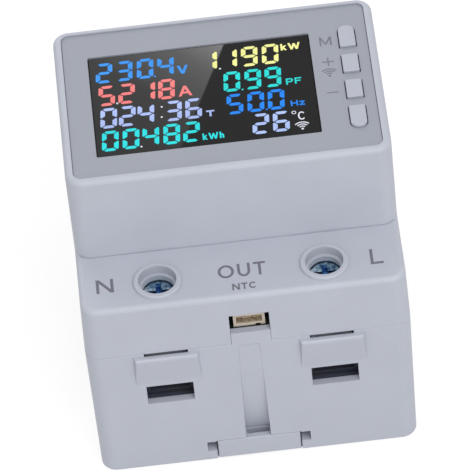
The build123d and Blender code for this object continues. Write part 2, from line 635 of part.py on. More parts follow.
def board_screw(x, y, radius, head_radius, head_height, length, seat, upward):
    """One board screw: its head lies on the board's face at seat and its shank goes the other way."""
    head_far = seat - upward * head_height
    shank_far = seat + upward * length
    upright(x, y, head_radius, min(seat, head_far), max(seat, head_far))
    upright(x, y, radius, min(seat, shank_far), max(seat, shank_far))
    drive = head_radius * RECESS_SHARE
    slot = head_radius * RECESS_WIDTH_SHARE
    deep = head_far + upward * head_height * RECESS_SHARE
    for wide, tall in ((2 * drive, slot), (slot, 2 * drive)):
        span_box((x - wide / 2, x + wide / 2), (y - tall / 2, y + tall / 2),
                 sorted((deep, head_far - upward * OVERRUN)), Mode.SUBTRACT)


with BuildPart() as display_board_screws:
    for boss_x in (-DISPLAY_BOSS_X, DISPLAY_BOSS_X):
        for boss_y in (-DISPLAY_BOSS_Y, DISPLAY_BOSS_Y):
            board_screw(boss_x, boss_y, SMALL_SCREW_RADIUS, SMALL_SCREW_HEAD_RADIUS, SMALL_SCREW_HEAD,
                        SMALL_SCREW_LENGTH, DISPLAY_BOARD_BOTTOM, 1)

save(display_board_screws.part, "display_board_screws")


# Keys: a cap through the panel, a flange that holds it in, and a stem on the switch plunger
for key_name, key_low, key_high, arched in KEYS:
    key_y = (key_low + key_high) / 2
    with BuildPart() as key:
        with BuildSketch(Plane.XY.offset(KEY_FLANGE_TOP)) as cap:
            with Locations((KEY_X, key_y)):
                Rectangle(KEY_WIDTH, key_high - key_low)
            corner_rows = cap.vertices().group_by(Axis.Y)
            if arched:
                fillet(corner_rows[-((arched + 1) // 2)], KEY_ARCH_RADIUS)
                plain_row = cap.vertices().group_by(Axis.Y)[(arched - 1) // 2]
                fillet(plain_row, KEY_CORNER_RADIUS)
            else:
                fillet(cap.vertices(), KEY_CORNER_RADIUS)
        extrude(amount=KEY_TOP - KEY_FLANGE_TOP)
        fillet(key.faces().sort_by(Axis.Z)[-1].edges(), KEY_EDGE_RADIUS)
        span_box((KEY_X - KEY_WIDTH / 2 - KEY_FLANGE_LAP, KEY_X + KEY_WIDTH / 2 + KEY_FLANGE_LAP),
                 (key_low - KEY_FLANGE_LAP, key_high + KEY_FLANGE_LAP),
                 (KEY_FLANGE_BOTTOM, KEY_FLANGE_TOP))
        upright(KEY_X, key_y, KEY_STEM_RADIUS, PLUNGER_TOP, KEY_FLANGE_BOTTOM)
    save(key.part, f"{key_name}_key")

    with BuildPart() as switch:
        with Locations((KEY_X, key_y, DISPLAY_BOARD_TOP)):
            Box(SWITCH_WIDTH, SWITCH_WIDTH, SWITCH_HEIGHT,
                align=(Align.CENTER, Align.CENTER, Align.MIN))
        chamfer(switch.faces().sort_by(Axis.Z)[-1].edges(), SWITCH_EDGE)
        upright(KEY_X, key_y, PLUNGER_RADIUS + PLUNGER_GAP,
                PLUNGER_BOTTOM - KEY_TRAVEL - SEAM_GAP, SWITCH_TOP + OVERRUN, Mode.SUBTRACT)
    save(switch.part, f"{key_name}_switch")

    with BuildPart() as plunger:
        upright(KEY_X, key_y, PLUNGER_RADIUS, PLUNGER_BOTTOM, PLUNGER_TOP)
    save(plunger.part, f"{key_name}_plunger")


# Rear housing: a tub with the rail recess, the clip channel and the terminal chambers
with BuildPart() as rear_housing:
    with BuildSketch(Plane.XY):
        RectangleRounded(WIDTH - 2 * BACK_SIDE_TAPER, LENGTH - 2 * BACK_END_TAPER, CORNER_RADIUS)
    with BuildSketch(Plane.XY.offset(PARTING_HEIGHT - SEAM_EDGE)):
        RectangleRounded(WIDTH, LENGTH, CORNER_RADIUS)
    with BuildSketch(Plane.XY.offset(PARTING_HEIGHT)):
        RectangleRounded(WIDTH - 2 * SEAM_EDGE, LENGTH - 2 * SEAM_EDGE, CORNER_RADIUS - SEAM_EDGE)
    loft(ruled=True)
    fillet(rear_housing.faces().sort_by(Axis.Z)[0].edges(), BACK_EDGE_RADIUS)

    # latch pads: wedges that stand out above the wire entries
    for end, end_sign in ENDS:
        for pole, pole_sign in POLES:
            pad_low_x = pole_sign * TERMINAL_X - PAD_WIDTH / 2
            pad_root = end_sign * (HALF_LENGTH - BACK_WALL / 2)
            pad_far = end_sign * (HALF_LENGTH + PAD_PROUD)
            with BuildPart(mode=Mode.PRIVATE) as pad:
                with BuildSketch(Plane.YZ.offset(pad_low_x)):
                    with BuildLine():
                        Polyline((pad_root, PAD_FLOOR),
                                 (end_sign * (HALF_LENGTH - BACK_END_TAPER), PAD_FLOOR),
                                 (pad_far, PAD_TOP - 2 * PAD_EDGE_RADIUS),
                                 (pad_far, PAD_TOP),
                                 (pad_root, PAD_TOP), close=True)
                    make_face()
                extrude(amount=PAD_WIDTH)
                outer_edges = pad.edges().group_by(Axis.Y)[-((end_sign + 1) // 2)]
                fillet(outer_edges.filter_by(Axis.X).sort_by(Axis.Z)[-1], PAD_EDGE_RADIUS)
                for side_x, inward in ((pad_low_x, 1), (pad_low_x + PAD_WIDTH, -1)):
                    with BuildSketch(Plane.XY.offset(PAD_FLOOR - OVERRUN)):
                        with BuildLine():
                            Polyline((side_x, end_sign * (HALF_LENGTH - BACK_END_TAPER)),
                                     (side_x - inward * OVERRUN, end_sign * (HALF_LENGTH - BACK_END_TAPER)),
                                     (side_x - inward * OVERRUN, pad_far + end_sign * OVERRUN),
                                     (side_x + inward * PAD_SIDE_TAPER * PAD_SIDE_REACH,
                                      pad_far + end_sign * OVERRUN), close=True)
                        make_face()
                    extrude(amount=PAD_TOP - PAD_FLOOR + 2 * OVERRUN, mode=Mode.SUBTRACT)
            add(pad.part)

    # main hollow, and the hollows in the two feet beside the clip channel
    with BuildSketch(Plane.XY.offset(TUB_FLOOR)):
        RectangleRounded(BACK_CAVITY_WIDTH, BACK_CAVITY_LENGTH, INNER_RADIUS)
    extrude(amount=PARTING_HEIGHT - TUB_FLOOR + OVERRUN, mode=Mode.SUBTRACT)
    foot_inner = HALF_RAIL + BACK_WALL
    for side in (-1, 1):
        span_box(sorted((side * (WING_CHANNEL_HALF + BACK_WALL), side * BACK_CAVITY_WIDTH / 2)),
                 end_span(-1, foot_inner, BACK_CAVITY_HALF), (FOOT_FLOOR, TUB_FLOOR + OVERRUN),
                 Mode.SUBTRACT)
    span_box((-BACK_CAVITY_WIDTH / 2, BACK_CAVITY_WIDTH / 2),
             end_span(1, foot_inner, BACK_CAVITY_HALF), (FOOT_FLOOR, TUB_FLOOR + OVERRUN), Mode.SUBTRACT)

    # terminal chambers
    for end, end_sign in ENDS:
        for pole, pole_sign in POLES:
            chamber_x = pole_sign * TERMINAL_X
            outer_half = CHAMBER_WIDTH / 2 + CHAMBER_WALL
            span_box((chamber_x - outer_half, chamber_x + outer_half),
                     end_span(end_sign, CHAMBER_BACK - CHAMBER_WALL, BACK_CAVITY_HALF + SEAM_GAP),
                     (CHAMBER_BASE - CHAMBER_FLOOR, PARTING_HEIGHT - OVERRUN))
            span_box((chamber_x - CHAMBER_WIDTH / 2, chamber_x + CHAMBER_WIDTH / 2),
                     end_span(end_sign, CHAMBER_BACK, BACK_CAVITY_HALF),
                     (CHAMBER_BASE, PARTING_HEIGHT), Mode.SUBTRACT)

    # columns for the main board
    for column_x in (-COLUMN_X, COLUMN_X):
        for column_y in (-COLUMN_Y, COLUMN_Y):
            upright(column_x, column_y, COLUMN_RADIUS, FOOT_FLOOR, MAIN_BOARD_HEIGHT)

    # thicker wall behind the ramped groove
    backing = HALF_LENGTH - GROOVE_DEPTH - GROOVE_BACKING
    span_box((-GROOVE_BOTTOM_WIDTH / 2 - BACK_WALL, GROOVE_BOTTOM_WIDTH / 2 + BACK_WALL),
             end_span(-1, backing, BACK_CAVITY_HALF + SEAM_GAP), (TUB_FLOOR - SEAM_GAP, PAD_TOP))

    # lip that laps inside the front cover, left out behind the latch pads
    with BuildSketch(Plane.XY.offset(PARTING_HEIGHT)):
        RectangleRounded(BACK_CAVITY_WIDTH + 2 * LAP_THICKNESS, BACK_CAVITY_LENGTH + 2 * LAP_THICKNESS,
                         INNER_RADIUS)
        RectangleRounded(BACK_CAVITY_WIDTH, BACK_CAVITY_LENGTH, INNER_RADIUS, mode=Mode.SUBTRACT)
        for end, end_sign in ENDS:
            for pole, pole_sign in POLES:
                with Locations((pole_sign * TERMINAL_X, end_sign * HALF_LENGTH)):
                    Rectangle(ENTRY_WIDTH + OVERRUN, 2 * (BACK_WALL + OVERRUN), mode=Mode.SUBTRACT)
    extrude(amount=LAP_HEIGHT)

    # tongue that closes the sensor slot from below
    tongue_half = SLOT_WIDTH / 2 - TONGUE_GAP
    span_box((SOCKET_X - tongue_half, SOCKET_X + tongue_half),
             end_span(-1, HALF_LENGTH - TONGUE_THICKNESS, HALF_LENGTH),
             (PARTING_HEIGHT - OVERRUN, TONGUE_TOP))
    span_box((SOCKET_X - tongue_half, SOCKET_X + tongue_half),
             end_span(-1, BACK_CAVITY_HALF - OVERRUN, HALF_LENGTH - TONGUE_THICKNESS),
             (PARTING_HEIGHT, TONGUE_TOP), Mode.SUBTRACT)

    # slits above the pads, wire entries and the pockets that the snap hooks catch in
    for end, end_sign in ENDS:
        for pole, pole_sign in POLES:
            entry_x = pole_sign * TERMINAL_X
            entry_span = (entry_x - ENTRY_WIDTH / 2, entry_x + ENTRY_WIDTH / 2)
            slit_span = (entry_x - SLIT_WIDTH / 2, entry_x + SLIT_WIDTH / 2)
            span_box(slit_span, end_span(end_sign, BACK_CAVITY_HALF - SEAM_GAP, HALF_LENGTH + OVERRUN),
                     (PARTING_HEIGHT - SLIT_HEIGHT, PARTING_HEIGHT + SEAM_GAP), Mode.SUBTRACT)
            span_box(slit_span, end_span(end_sign, BACK_CAVITY_HALF - SEAM_GAP, HALF_LENGTH),
                     (PARTING_HEIGHT - SLIT_TROUGH, PARTING_HEIGHT), Mode.SUBTRACT)
            span_box(entry_span, end_span(end_sign, CHAMBER_BACK, HALF_LENGTH + OVERRUN),
                     (ENTRY_FLOOR, ENTRY_TOP), Mode.SUBTRACT)
            pocket_low = PARTING_HEIGHT - HOOK_LENGTH - GUIDE_GAP
            span_box((entry_x - HOOK_WIDTH / 2 - GUIDE_GAP, entry_x + HOOK_WIDTH / 2 + GUIDE_GAP),
                     end_span(end_sign, CHAMBER_BACK, BACK_CAVITY_HALF + HOOK_BARB),
                     (pocket_low, pocket_low + HOOK_BARB_HEIGHT + 2 * GUIDE_GAP), Mode.SUBTRACT)
            span_box((entry_x - BAR_WIDTH / 2 - GUIDE_GAP, entry_x + BAR_WIDTH / 2 + GUIDE_GAP),
                     end_span(end_sign, CHAMBER_BACK - CHAMBER_WALL - OVERRUN, CHAMBER_BACK + OVERRUN),
                     (BAR_BOTTOM - SLIDE_GAP, BAR_TOP + SLIDE_GAP), Mode.SUBTRACT)

    # pilot holes in the columns
    for column_x in (-COLUMN_X, COLUMN_X):
        for column_y in (-COLUMN_Y, COLUMN_Y):
            upright(column_x, column_y, LARGE_SCREW_RADIUS + PILOT_GAP,
                    MAIN_BOARD_HEIGHT - LARGE_SCREW_LENGTH, MAIN_BOARD_HEIGHT + OVERRUN, Mode.SUBTRACT)

    # rail recess across the back, and its two fixed hooks on the input side
    span_box((-HALF_WIDTH - OVERRUN, HALF_WIDTH + OVERRUN), (-HALF_RAIL, HALF_RAIL),
             (-OVERRUN, RAIL_SEAT_HEIGHT), Mode.SUBTRACT)
    for side in (-1, 1):
        with BuildSketch(Plane.YZ.offset(side * FIXED_HOOK_X - FIXED_HOOK_WIDTH / 2)):
            with BuildLine():
                Polyline((HALF_RAIL + SEAM_GAP, RAIL_HOOK_TOP),
                         (HALF_RAIL - HOOK_REACH, RAIL_HOOK_TOP),
                         (HALF_RAIL - HOOK_REACH, RAIL_HOOK_TOP - HOOK_LEAD),
                         (HALF_RAIL, HOOK_TIP_LOW),
                         (HALF_RAIL + SEAM_GAP, HOOK_TIP_LOW), close=True)
            make_face()
        extrude(amount=FIXED_HOOK_WIDTH)

    # clip channel with a groove along each side for the clip's wings
    span_box((-CHANNEL_HALF, CHANNEL_HALF), end_span(-1, HALF_RAIL - OVERRUN, HALF_LENGTH + OVERRUN),
             (-OVERRUN, CLIP_CEILING), Mode.SUBTRACT)
    span_box((-WING_CHANNEL_HALF, WING_CHANNEL_HALF), end_span(-1, GROOVE_STOP, HALF_LENGTH + OVERRUN),
             (WING_BOTTOM - SLIDE_GAP, WING_TOP + SLIDE_GAP), Mode.SUBTRACT)

    # spring seat and guide pin, which reach down into the clip's pocket
    pin_height = CLIP_TOP - SPRING_POCKET_DEPTH / 2
    span_box((-SPRING_POCKET_WIDTH / 2 + SLIDE_GAP, SPRING_POCKET_WIDTH / 2 - SLIDE_GAP),
             end_span(-1, SPRING_SEAT_Y, SPRING_SEAT_Y + SPRING_SEAT_THICKNESS),
             (CLIP_TOP - SPRING_POCKET_DEPTH + SLIDE_GAP, CLIP_CEILING + SEAM_GAP))
    with BuildSketch(Plane((0, -SPRING_SEAT_Y - SPRING_SEAT_THICKNESS / 2, pin_height),
                           x_dir=(1, 0, 0), z_dir=(0, 1, 0))):
        Circle(SPRING_PIN_RADIUS)
    extrude(amount=SPRING_LENGTH - CLIP_TRAVEL - GUIDE_GAP + SPRING_SEAT_THICKNESS / 2)

    # groove down to the clip, a mere trace at its top, which curves inwards towards its foot
    groove_foot = CLIP_CEILING - SEAM_GAP
    groove_rows = []
    for step in range(GROOVE_STEPS, -1, -1):
        curved = step / GROOVE_STEPS
        groove_rows.append((GROOVE_START - curved * (GROOVE_START - groove_foot),
                            GROOVE_TRACE + curved ** 2 * (GROOVE_FOOT_DEPTH - GROOVE_TRACE)))
    groove_rows.append((GROOVE_TOP, GROOVE_TRACE))
    for height, depth in groove_rows:
        share = (height - groove_foot) / (GROOVE_TOP - groove_foot)
        with BuildSketch(Plane.XY.offset(height)):
            with Locations((0, -HALF_LENGTH - OVERRUN + (depth + OVERRUN) / 2)):
                Rectangle(GROOVE_BOTTOM_WIDTH + share * (GROOVE_TOP_WIDTH - GROOVE_BOTTOM_WIDTH),
                          depth + OVERRUN)
    loft(ruled=True, mode=Mode.SUBTRACT)

save(rear_housing.part, "rear_housing")


# Liners: a black tray in each terminal chamber, open at the front, with a slot for the bar
inner_liner_half = LINER_WIDTH / 2 - LINER_WALL
hook_clear = BACK_CAVITY_HALF - SLIDE_GAP - HOOK_THICKNESS - GUIDE_GAP
for end, end_sign in ENDS:
    for pole, pole_sign in POLES:
        liner_x = pole_sign * TERMINAL_X
        with BuildPart() as liner:
            span_box((liner_x - LINER_WIDTH / 2, liner_x + LINER_WIDTH / 2),
                     end_span(end_sign, LINER_BACK, BACK_CAVITY_HALF - SEAM_GAP),
                     (LINER_BASE, PARTING_HEIGHT - HOOK_LENGTH - 2 * GUIDE_GAP))
            span_box((liner_x - LINER_WIDTH / 2, liner_x + LINER_WIDTH / 2),
                     end_span(end_sign, LINER_BACK, hook_clear),
                     (LINER_BASE, PARTING_HEIGHT - LINER_TOP_DROP))
            span_box((liner_x - inner_liner_half, liner_x + inner_liner_half),
                     end_span(end_sign, LINER_BACK + LINER_WALL, HALF_LENGTH),
                     (LINER_BASE + LINER_WALL, PARTING_HEIGHT), Mode.SUBTRACT)
            span_box((liner_x - BAR_WIDTH / 2 - GUIDE_GAP, liner_x + BAR_WIDTH / 2 + GUIDE_GAP),
                     end_span(end_sign, LINER_BACK - OVERRUN, LINER_BACK + LINER_WALL + OVERRUN),
                     (BAR_BOTTOM - SLIDE_GAP, BAR_TOP + SLIDE_GAP), Mode.SUBTRACT)
        save(liner.part, f"{end}_{pole}_liner")


# Rail clip: a bar with a hooked nose, side wings, a pry slot and a pocket for the spring
with BuildPart() as rail_clip:
    clip_front = END_FACE_AT_CLIP
    with BuildSketch(Plane.YZ.offset(-CLIP_WIDTH / 2)):
        with BuildLine():
            Polyline((-clip_front, CLIP_BOTTOM),
                     (-clip_front, CLIP_TOP),
                     (-HALF_RAIL - SLIDE_GAP, CLIP_TOP),
                     (-HALF_RAIL - SLIDE_GAP, RAIL_HOOK_TOP),
                     (-HALF_RAIL + HOOK_REACH, RAIL_HOOK_TOP),
                     (-HALF_RAIL + HOOK_REACH, RAIL_HOOK_TOP - HOOK_LEAD),
                     (-HALF_RAIL, CLIP_BOTTOM), close=True)
        make_face()
    extrude(amount=CLIP_WIDTH)
    fillet(rail_clip.faces().sort_by(Axis.Y)[0].edges(), CLIP_EDGE_RADIUS)
    wing_half = CLIP_WIDTH / 2 + WING_WIDTH
    span_box((-wing_half, wing_half),
             end_span(-1, GROOVE_STOP + SEAM_GAP, clip_front - WING_INSET), (WING_BOTTOM, WING_TOP))
    pocket_end = SPRING_SEAT_Y - SPRING_LENGTH
    pocket_start = SPRING_SEAT_Y + SPRING_SEAT_THICKNESS + GUIDE_GAP
    span_box((-SPRING_POCKET_WIDTH / 2, SPRING_POCKET_WIDTH / 2),
             end_span(-1, pocket_end, pocket_start),
             (CLIP_TOP - SPRING_POCKET_DEPTH, CLIP_TOP + OVERRUN), Mode.SUBTRACT)
    pry_far = HALF_LENGTH - GROOVE_DEPTH + SEAM_GAP
    span_box((-PRY_SLOT_WIDTH / 2, PRY_SLOT_WIDTH / 2),
             end_span(-1, pry_far - PRY_SLOT_LENGTH, pry_far),
             (CLIP_TOP - PRY_SLOT_DEPTH, CLIP_TOP + OVERRUN), Mode.SUBTRACT)

save(rail_clip.part, "rail_clip")


# Clip spring: a small coil round the guide pin, between its seat and the end of the clip's pocket
with BuildPart() as clip_spring:
    spring_free = SPRING_LENGTH - 2 * SPRING_WIRE_RADIUS - 2 * SEAM_GAP
    spring_start = -SPRING_SEAT_Y + SPRING_WIRE_RADIUS + SEAM_GAP
    with BuildLine() as coil:
        Helix(spring_free / SPRING_TURNS, spring_free, SPRING_MEAN_RADIUS,
              center=(0, spring_start, CLIP_TOP - SPRING_POCKET_DEPTH / 2), direction=(0, 1, 0))
    with BuildSketch(Plane(origin=coil.line @ 0, z_dir=coil.line % 0)):
        Circle(SPRING_WIRE_RADIUS)
    sweep(path=coil.line)

save(clip_spring.part, "clip_spring")


# Terminal screws and the clamp cages that they raise
for end, end_sign in ENDS:
    for pole, pole_sign in POLES:
        terminal_x = pole_sign * TERMINAL_X
        terminal_y = end_sign * TERMINAL_Y
        with BuildPart() as screw:
            upright(terminal_x, terminal_y, HEAD_RADIUS, HEAD_BOTTOM, HEAD_TOP)
            fillet(screw.faces().sort_by(Axis.Z)[-1].edges(), HEAD_EDGE_RADIUS)
            for wide, tall in ((DRIVE_SPAN, DRIVE_WIDTH), (DRIVE_WIDTH, DRIVE_SPAN)):
                with Locations((terminal_x, terminal_y, HEAD_TOP)):
                    Box(wide, tall, 2 * DRIVE_DEPTH, mode=Mode.SUBTRACT)
            with BuildSketch(Plane((terminal_x, terminal_y, 0), x_dir=(1, 0, 0), z_dir=(0, -1, 0))):
                with BuildLine():
                    rows = [(0, SHANK_BOTTOM), (SHANK_RADIUS - THREAD_DEPTH, SHANK_BOTTOM)]
                    for turn in range(THREAD_TURNS):
                        crest = SHANK_BOTTOM + (turn + 0.5) * THREAD_PITCH
                        rows.append((SHANK_RADIUS, crest))
                        rows.append((SHANK_RADIUS - THREAD_DEPTH, crest + THREAD_PITCH / 2))
                    rows.append((SHANK_RADIUS, rows[-1][1] + THREAD_DEPTH))
                    rows.append((SHANK_RADIUS, HEAD_BOTTOM + SEAM_GAP))
                    rows.append((0, HEAD_BOTTOM + SEAM_GAP))
                    Polyline(*rows, close=True)
                make_face()
            revolve(axis=Axis((terminal_x, terminal_y, 0), (0, 0, 1)))
        save(screw.part, f"{end}_{pole}_screw")

        with BuildPart() as cage:
            with BuildSketch(Plane((terminal_x, terminal_y + CAGE_LENGTH / 2, 0),
                                   x_dir=(1, 0, 0), z_dir=(0, -1, 0))):
                with Locations((0, (CAGE_BOTTOM + CAGE_TOP) / 2)):
                    RectangleRounded(CAGE_WIDTH, CAGE_TOP - CAGE_BOTTOM, CAGE_CORNER_RADIUS)
                with Locations((0, (CAGE_FLOOR_TOP + NUT_BOTTOM) / 2)):
                    Rectangle(CAGE_WIDTH - 2 * CAGE_STRAP, NUT_BOTTOM - CAGE_FLOOR_TOP, mode=Mode.SUBTRACT)
            extrude(amount=CAGE_LENGTH)
            upright(terminal_x, terminal_y, SHANK_RADIUS + THREAD_GAP, NUT_BOTTOM - OVERRUN / 2,
                    CAGE_TOP + OVERRUN, Mode.SUBTRACT)
        save(cage.part, f"{end}_{pole}_cage")


# Copper bars: the neutral runs straight through, the live side goes by the shunt and the relay
relay_half = RELAY_LENGTH / 2
shunt_end = relay_half + GUIDE_GAP + SHUNT_LENGTH
neutral_span = (-TERMINAL_X - BAR_WIDTH / 2, -TERMINAL_X + BAR_WIDTH / 2)
live_span = (TERMINAL_X - BAR_WIDTH / 2, TERMINAL_X + BAR_WIDTH / 2)
bar_heights = (BAR_BOTTOM, BAR_TOP)

with BuildPart() as neutral_busbar:
    span_box(neutral_span, (-BAR_END, BAR_END), bar_heights)
    chamfer(neutral_busbar.edges().filter_by(Axis.Z), BAR_THICKNESS / 2)
save(neutral_busbar.part, "neutral_busbar")

with BuildPart() as live_out_busbar:
    span_box(live_span, end_span(-1, relay_half + GUIDE_GAP, BAR_END), bar_heights)
    chamfer(live_out_busbar.edges().filter_by(Axis.Z).group_by(Axis.Y)[0], BAR_THICKNESS / 2)
save(live_out_busbar.part, "live_out_busbar")

with BuildPart() as live_in_busbar:
    span_box(live_span, end_span(1, shunt_end, BAR_END), bar_heights)
    chamfer(live_in_busbar.edges().filter_by(Axis.Z).group_by(Axis.Y)[-1], BAR_THICKNESS / 2)
save(live_in_busbar.part, "live_in_busbar")

# Shunt: a strip with a waist, butted to the bar and lying on the relay's blade
with BuildPart() as current_shunt:
    span_box(live_span, end_span(1, relay_half + GUIDE_GAP, shunt_end), bar_heights)
    waist_y = shunt_end - SHUNT_LENGTH / 4
    for side in (-1, 1):
        upright(TERMINAL_X + side * BAR_WIDTH / 2, waist_y, SHUNT_LENGTH / 8,
                BAR_BOTTOM - OVERRUN, BAR_TOP + OVERRUN, Mode.SUBTRACT)
save(current_shunt.part, "current_shunt")


# Latching relay on the tub's floor, its blades under the bars and its coil pins up to the board
with BuildPart() as latching_relay:
    with Locations((TERMINAL_X, 0, TUB_FLOOR)):
        Box(RELAY_WIDTH, RELAY_LENGTH, RELAY_HEIGHT, align=(Align.CENTER, Align.CENTER, Align.MIN))
    fillet(latching_relay.edges().filter_by(Axis.Z), RELAY_EDGE_RADIUS)
    chamfer(latching_relay.faces().sort_by(Axis.Z)[-1].edges(), RELAY_EDGE_RADIUS / 2)
save(latching_relay.part, "latching_relay")

with BuildPart() as relay_blades:
    for sign in (-1, 1):
        span_box(live_span, end_span(sign, relay_half, relay_half + BLADE_LENGTH),
                 (BAR_BOTTOM - BAR_THICKNESS, BAR_BOTTOM))
save(relay_blades.part, "relay_blades")

relay_top = TUB_FLOOR + RELAY_HEIGHT
with BuildPart() as relay_coil_pins:
    for place in range(COIL_PIN_COUNT):
        pin_y = (place - (COIL_PIN_COUNT - 1) / 2) * COIL_PIN_SPACING
        upright(TERMINAL_X - RELAY_WIDTH / 4, pin_y, COIL_PIN_RADIUS, relay_top, MAIN_BOARD_HEIGHT)
save(relay_coil_pins.part, "relay_coil_pins")


# Main board with a tongue that carries the sensor socket to the end wall
socket_front = HALF_LENGTH - TONGUE_THICKNESS - SOCKET_SETBACK
tongue_end = CAVITY_LENGTH / 2 - GUIDE_GAP
with BuildPart() as main_board:
    span_box((-MAIN_BOARD_WIDTH / 2, MAIN_BOARD_WIDTH / 2), (-MAIN_BOARD_LENGTH / 2, MAIN_BOARD_LENGTH / 2),
             (MAIN_BOARD_HEIGHT, MAIN_BOARD_TOP))
    span_box((-MAIN_BOARD_TONGUE / 2, MAIN_BOARD_TONGUE / 2), end_span(-1, 0, tongue_end),
             (MAIN_BOARD_HEIGHT, MAIN_BOARD_TOP))
    for column_x in (-COLUMN_X, COLUMN_X):
        for column_y in (-COLUMN_Y, COLUMN_Y):
            upright(column_x, column_y, LARGE_SCREW_RADIUS + PASSING_GAP, MAIN_BOARD_HEIGHT - OVERRUN,
                    MAIN_BOARD_TOP + OVERRUN, Mode.SUBTRACT)
save(main_board.part, "main_board")

with BuildPart() as main_board_screws:
    for column_x in (-COLUMN_X, COLUMN_X):
        for column_y in (-COLUMN_Y, COLUMN_Y):
            board_screw(column_x, column_y, LARGE_SCREW_RADIUS, LARGE_SCREW_HEAD_RADIUS, LARGE_SCREW_HEAD,
                        LARGE_SCREW_LENGTH, MAIN_BOARD_TOP, -1)
save(main_board_screws.part, "main_board_screws")


# Sensor socket: a two-pin shrouded header, open to the slot
socket_floor = MAIN_BOARD_TOP + SOCKET_FLOOR
socket_roof = MAIN_BOARD_TOP + SOCKET_HEIGHT - SOCKET_WALL
with BuildPart() as ntc_socket:
    span_box((SOCKET_X - SOCKET_WIDTH / 2, SOCKET_X + SOCKET_WIDTH / 2),
             end_span(-1, socket_front - SOCKET_LENGTH, socket_front),
             (MAIN_BOARD_TOP, MAIN_BOARD_TOP + SOCKET_HEIGHT))
    inner_half = SOCKET_WIDTH / 2 - SOCKET_WALL
    span_box((SOCKET_X - inner_half, SOCKET_X + inner_half),
             end_span(-1, socket_front - SOCKET_DEPTH, socket_front + OVERRUN),
             (socket_floor, socket_roof), Mode.SUBTRACT)
    keyway_x = SOCKET_X + SOCKET_KEYWAY_SHIFT
    span_box((keyway_x - SOCKET_KEYWAY / 2, keyway_x + SOCKET_KEYWAY / 2),
             end_span(-1, socket_front - SOCKET_DEPTH, socket_front + OVERRUN),
             (MAIN_BOARD_TOP - OVERRUN, MAIN_BOARD_TOP + SOCKET_FLOOR / 2), Mode.SUBTRACT)
save(ntc_socket.part, "ntc_socket")

pin_z = (socket_floor + socket_roof) / 2
with BuildPart() as ntc_pins:
    for sign in (-1, 1):
        pin_x = SOCKET_X + sign * PIN_SPACING / 2
        span_box((pin_x - PIN_SIDE / 2, pin_x + PIN_SIDE / 2),
                 end_span(-1, socket_front - SOCKET_DEPTH, socket_front - SOCKET_DEPTH / 4),
                 (pin_z - PIN_SIDE / 2, pin_z + PIN_SIDE / 2))
    chamfer(ntc_pins.faces().group_by(Axis.Y)[0].edges(), PIN_SIDE / 4)
save(ntc_pins.part, "ntc_pins")


# Connector between the boards: a pin strip below and a socket strip above
link_places = [LINK_Y + (place - (LINK_PIN_COUNT - 1) / 2) * LINK_SPACING for place in range(LINK_PIN_COUNT)]
link_half = LINK_PIN_COUNT * LINK_SPACING / 2
link_span = (LINK_X - LINK_BODY_WIDTH / 2, LINK_X + LINK_BODY_WIDTH / 2)
link_seat = DISPLAY_BOARD_BOTTOM - LINK_SOCKET_HEIGHT
header_top = MAIN_BOARD_TOP + LINK_HEADER_HEIGHT


def link_holes(z_span):
    """Square holes for the pins of the board connector."""
    hole_half = PIN_SIDE / 2 + LINK_HOLE_GAP
    for place_y in link_places:
        span_box((LINK_X - hole_half, LINK_X + hole_half), (place_y - hole_half, place_y + hole_half),
                 z_span, Mode.SUBTRACT)


with BuildPart() as link_header:
    span_box(link_span, (LINK_Y - link_half, LINK_Y + link_half), (MAIN_BOARD_TOP, header_top))
    link_holes((MAIN_BOARD_TOP - OVERRUN, header_top + OVERRUN))
save(link_header.part, "link_header")

with BuildPart() as link_socket:
    span_box(link_span, (LINK_Y - link_half, LINK_Y + link_half), (link_seat, DISPLAY_BOARD_BOTTOM))
    link_holes((link_seat - OVERRUN, link_seat + LINK_PIN_ENTRY + SLIDE_GAP))
save(link_socket.part, "link_socket")

with BuildPart() as link_pins:
    for place_y in link_places:
        span_box((LINK_X - PIN_SIDE / 2, LINK_X + PIN_SIDE / 2),
                 (place_y - PIN_SIDE / 2, place_y + PIN_SIDE / 2),
                 (MAIN_BOARD_TOP, link_seat + LINK_PIN_ENTRY))
save(link_pins.part, "link_pins")


# Parts that stand on the main board
with BuildPart() as supply_transformer:
    with Locations((TRANSFORMER_X, TRANSFORMER_Y, MAIN_BOARD_TOP)):
        Box(TRANSFORMER_SIDE, TRANSFORMER_SIDE, TRANSFORMER_BASE,
            align=(Align.CENTER, Align.CENTER, Align.MIN))
        Box(TRANSFORMER_SIDE, TRANSFORMER_CORE_WIDTH, TRANSFORMER_CORE_HEIGHT,
            align=(Align.CENTER, Align.CENTER, Align.MIN))
    upright(TRANSFORMER_X, TRANSFORMER_Y, WINDING_RADIUS, MAIN_BOARD_TOP,
            MAIN_BOARD_TOP + TRANSFORMER_CORE_HEIGHT - TRANSFORMER_BASE)
save(supply_transformer.part, "supply_transformer")

with BuildPart() as supply_capacitor:
    upright(CAPACITOR_X, CAPACITOR_Y, CAPACITOR_RADIUS, MAIN_BOARD_TOP, MAIN_BOARD_TOP + CAPACITOR_HEIGHT)
    fillet(supply_capacitor.faces().sort_by(Axis.Z)[-1].edges(), CAPACITOR_EDGE_RADIUS)
    with Locations((CAPACITOR_X, CAPACITOR_Y, MAIN_BOARD_TOP + CAPACITOR_HEIGHT)):
        Box(CAPACITOR_RADIUS, CAPACITOR_GROOVE, CAPACITOR_GROOVE, mode=Mode.SUBTRACT)
        Box(CAPACITOR_GROOVE, CAPACITOR_RADIUS, CAPACITOR_GROOVE, mode=Mode.SUBTRACT)
save(supply_capacitor.part, "supply_capacitor")

with BuildPart() as filter_capacitor:
    with Locations((FILTER_X, FILTER_Y, MAIN_BOARD_TOP)):
        Box(FILTER_WIDTH, FILTER_LENGTH, FILTER_HEIGHT, align=(Align.CENTER, Align.CENTER, Align.MIN))
    fillet(filter_capacitor.edges().filter_by(Axis.Z), FILTER_EDGE_RADIUS)
save(filter_capacitor.part, "filter_capacitor")

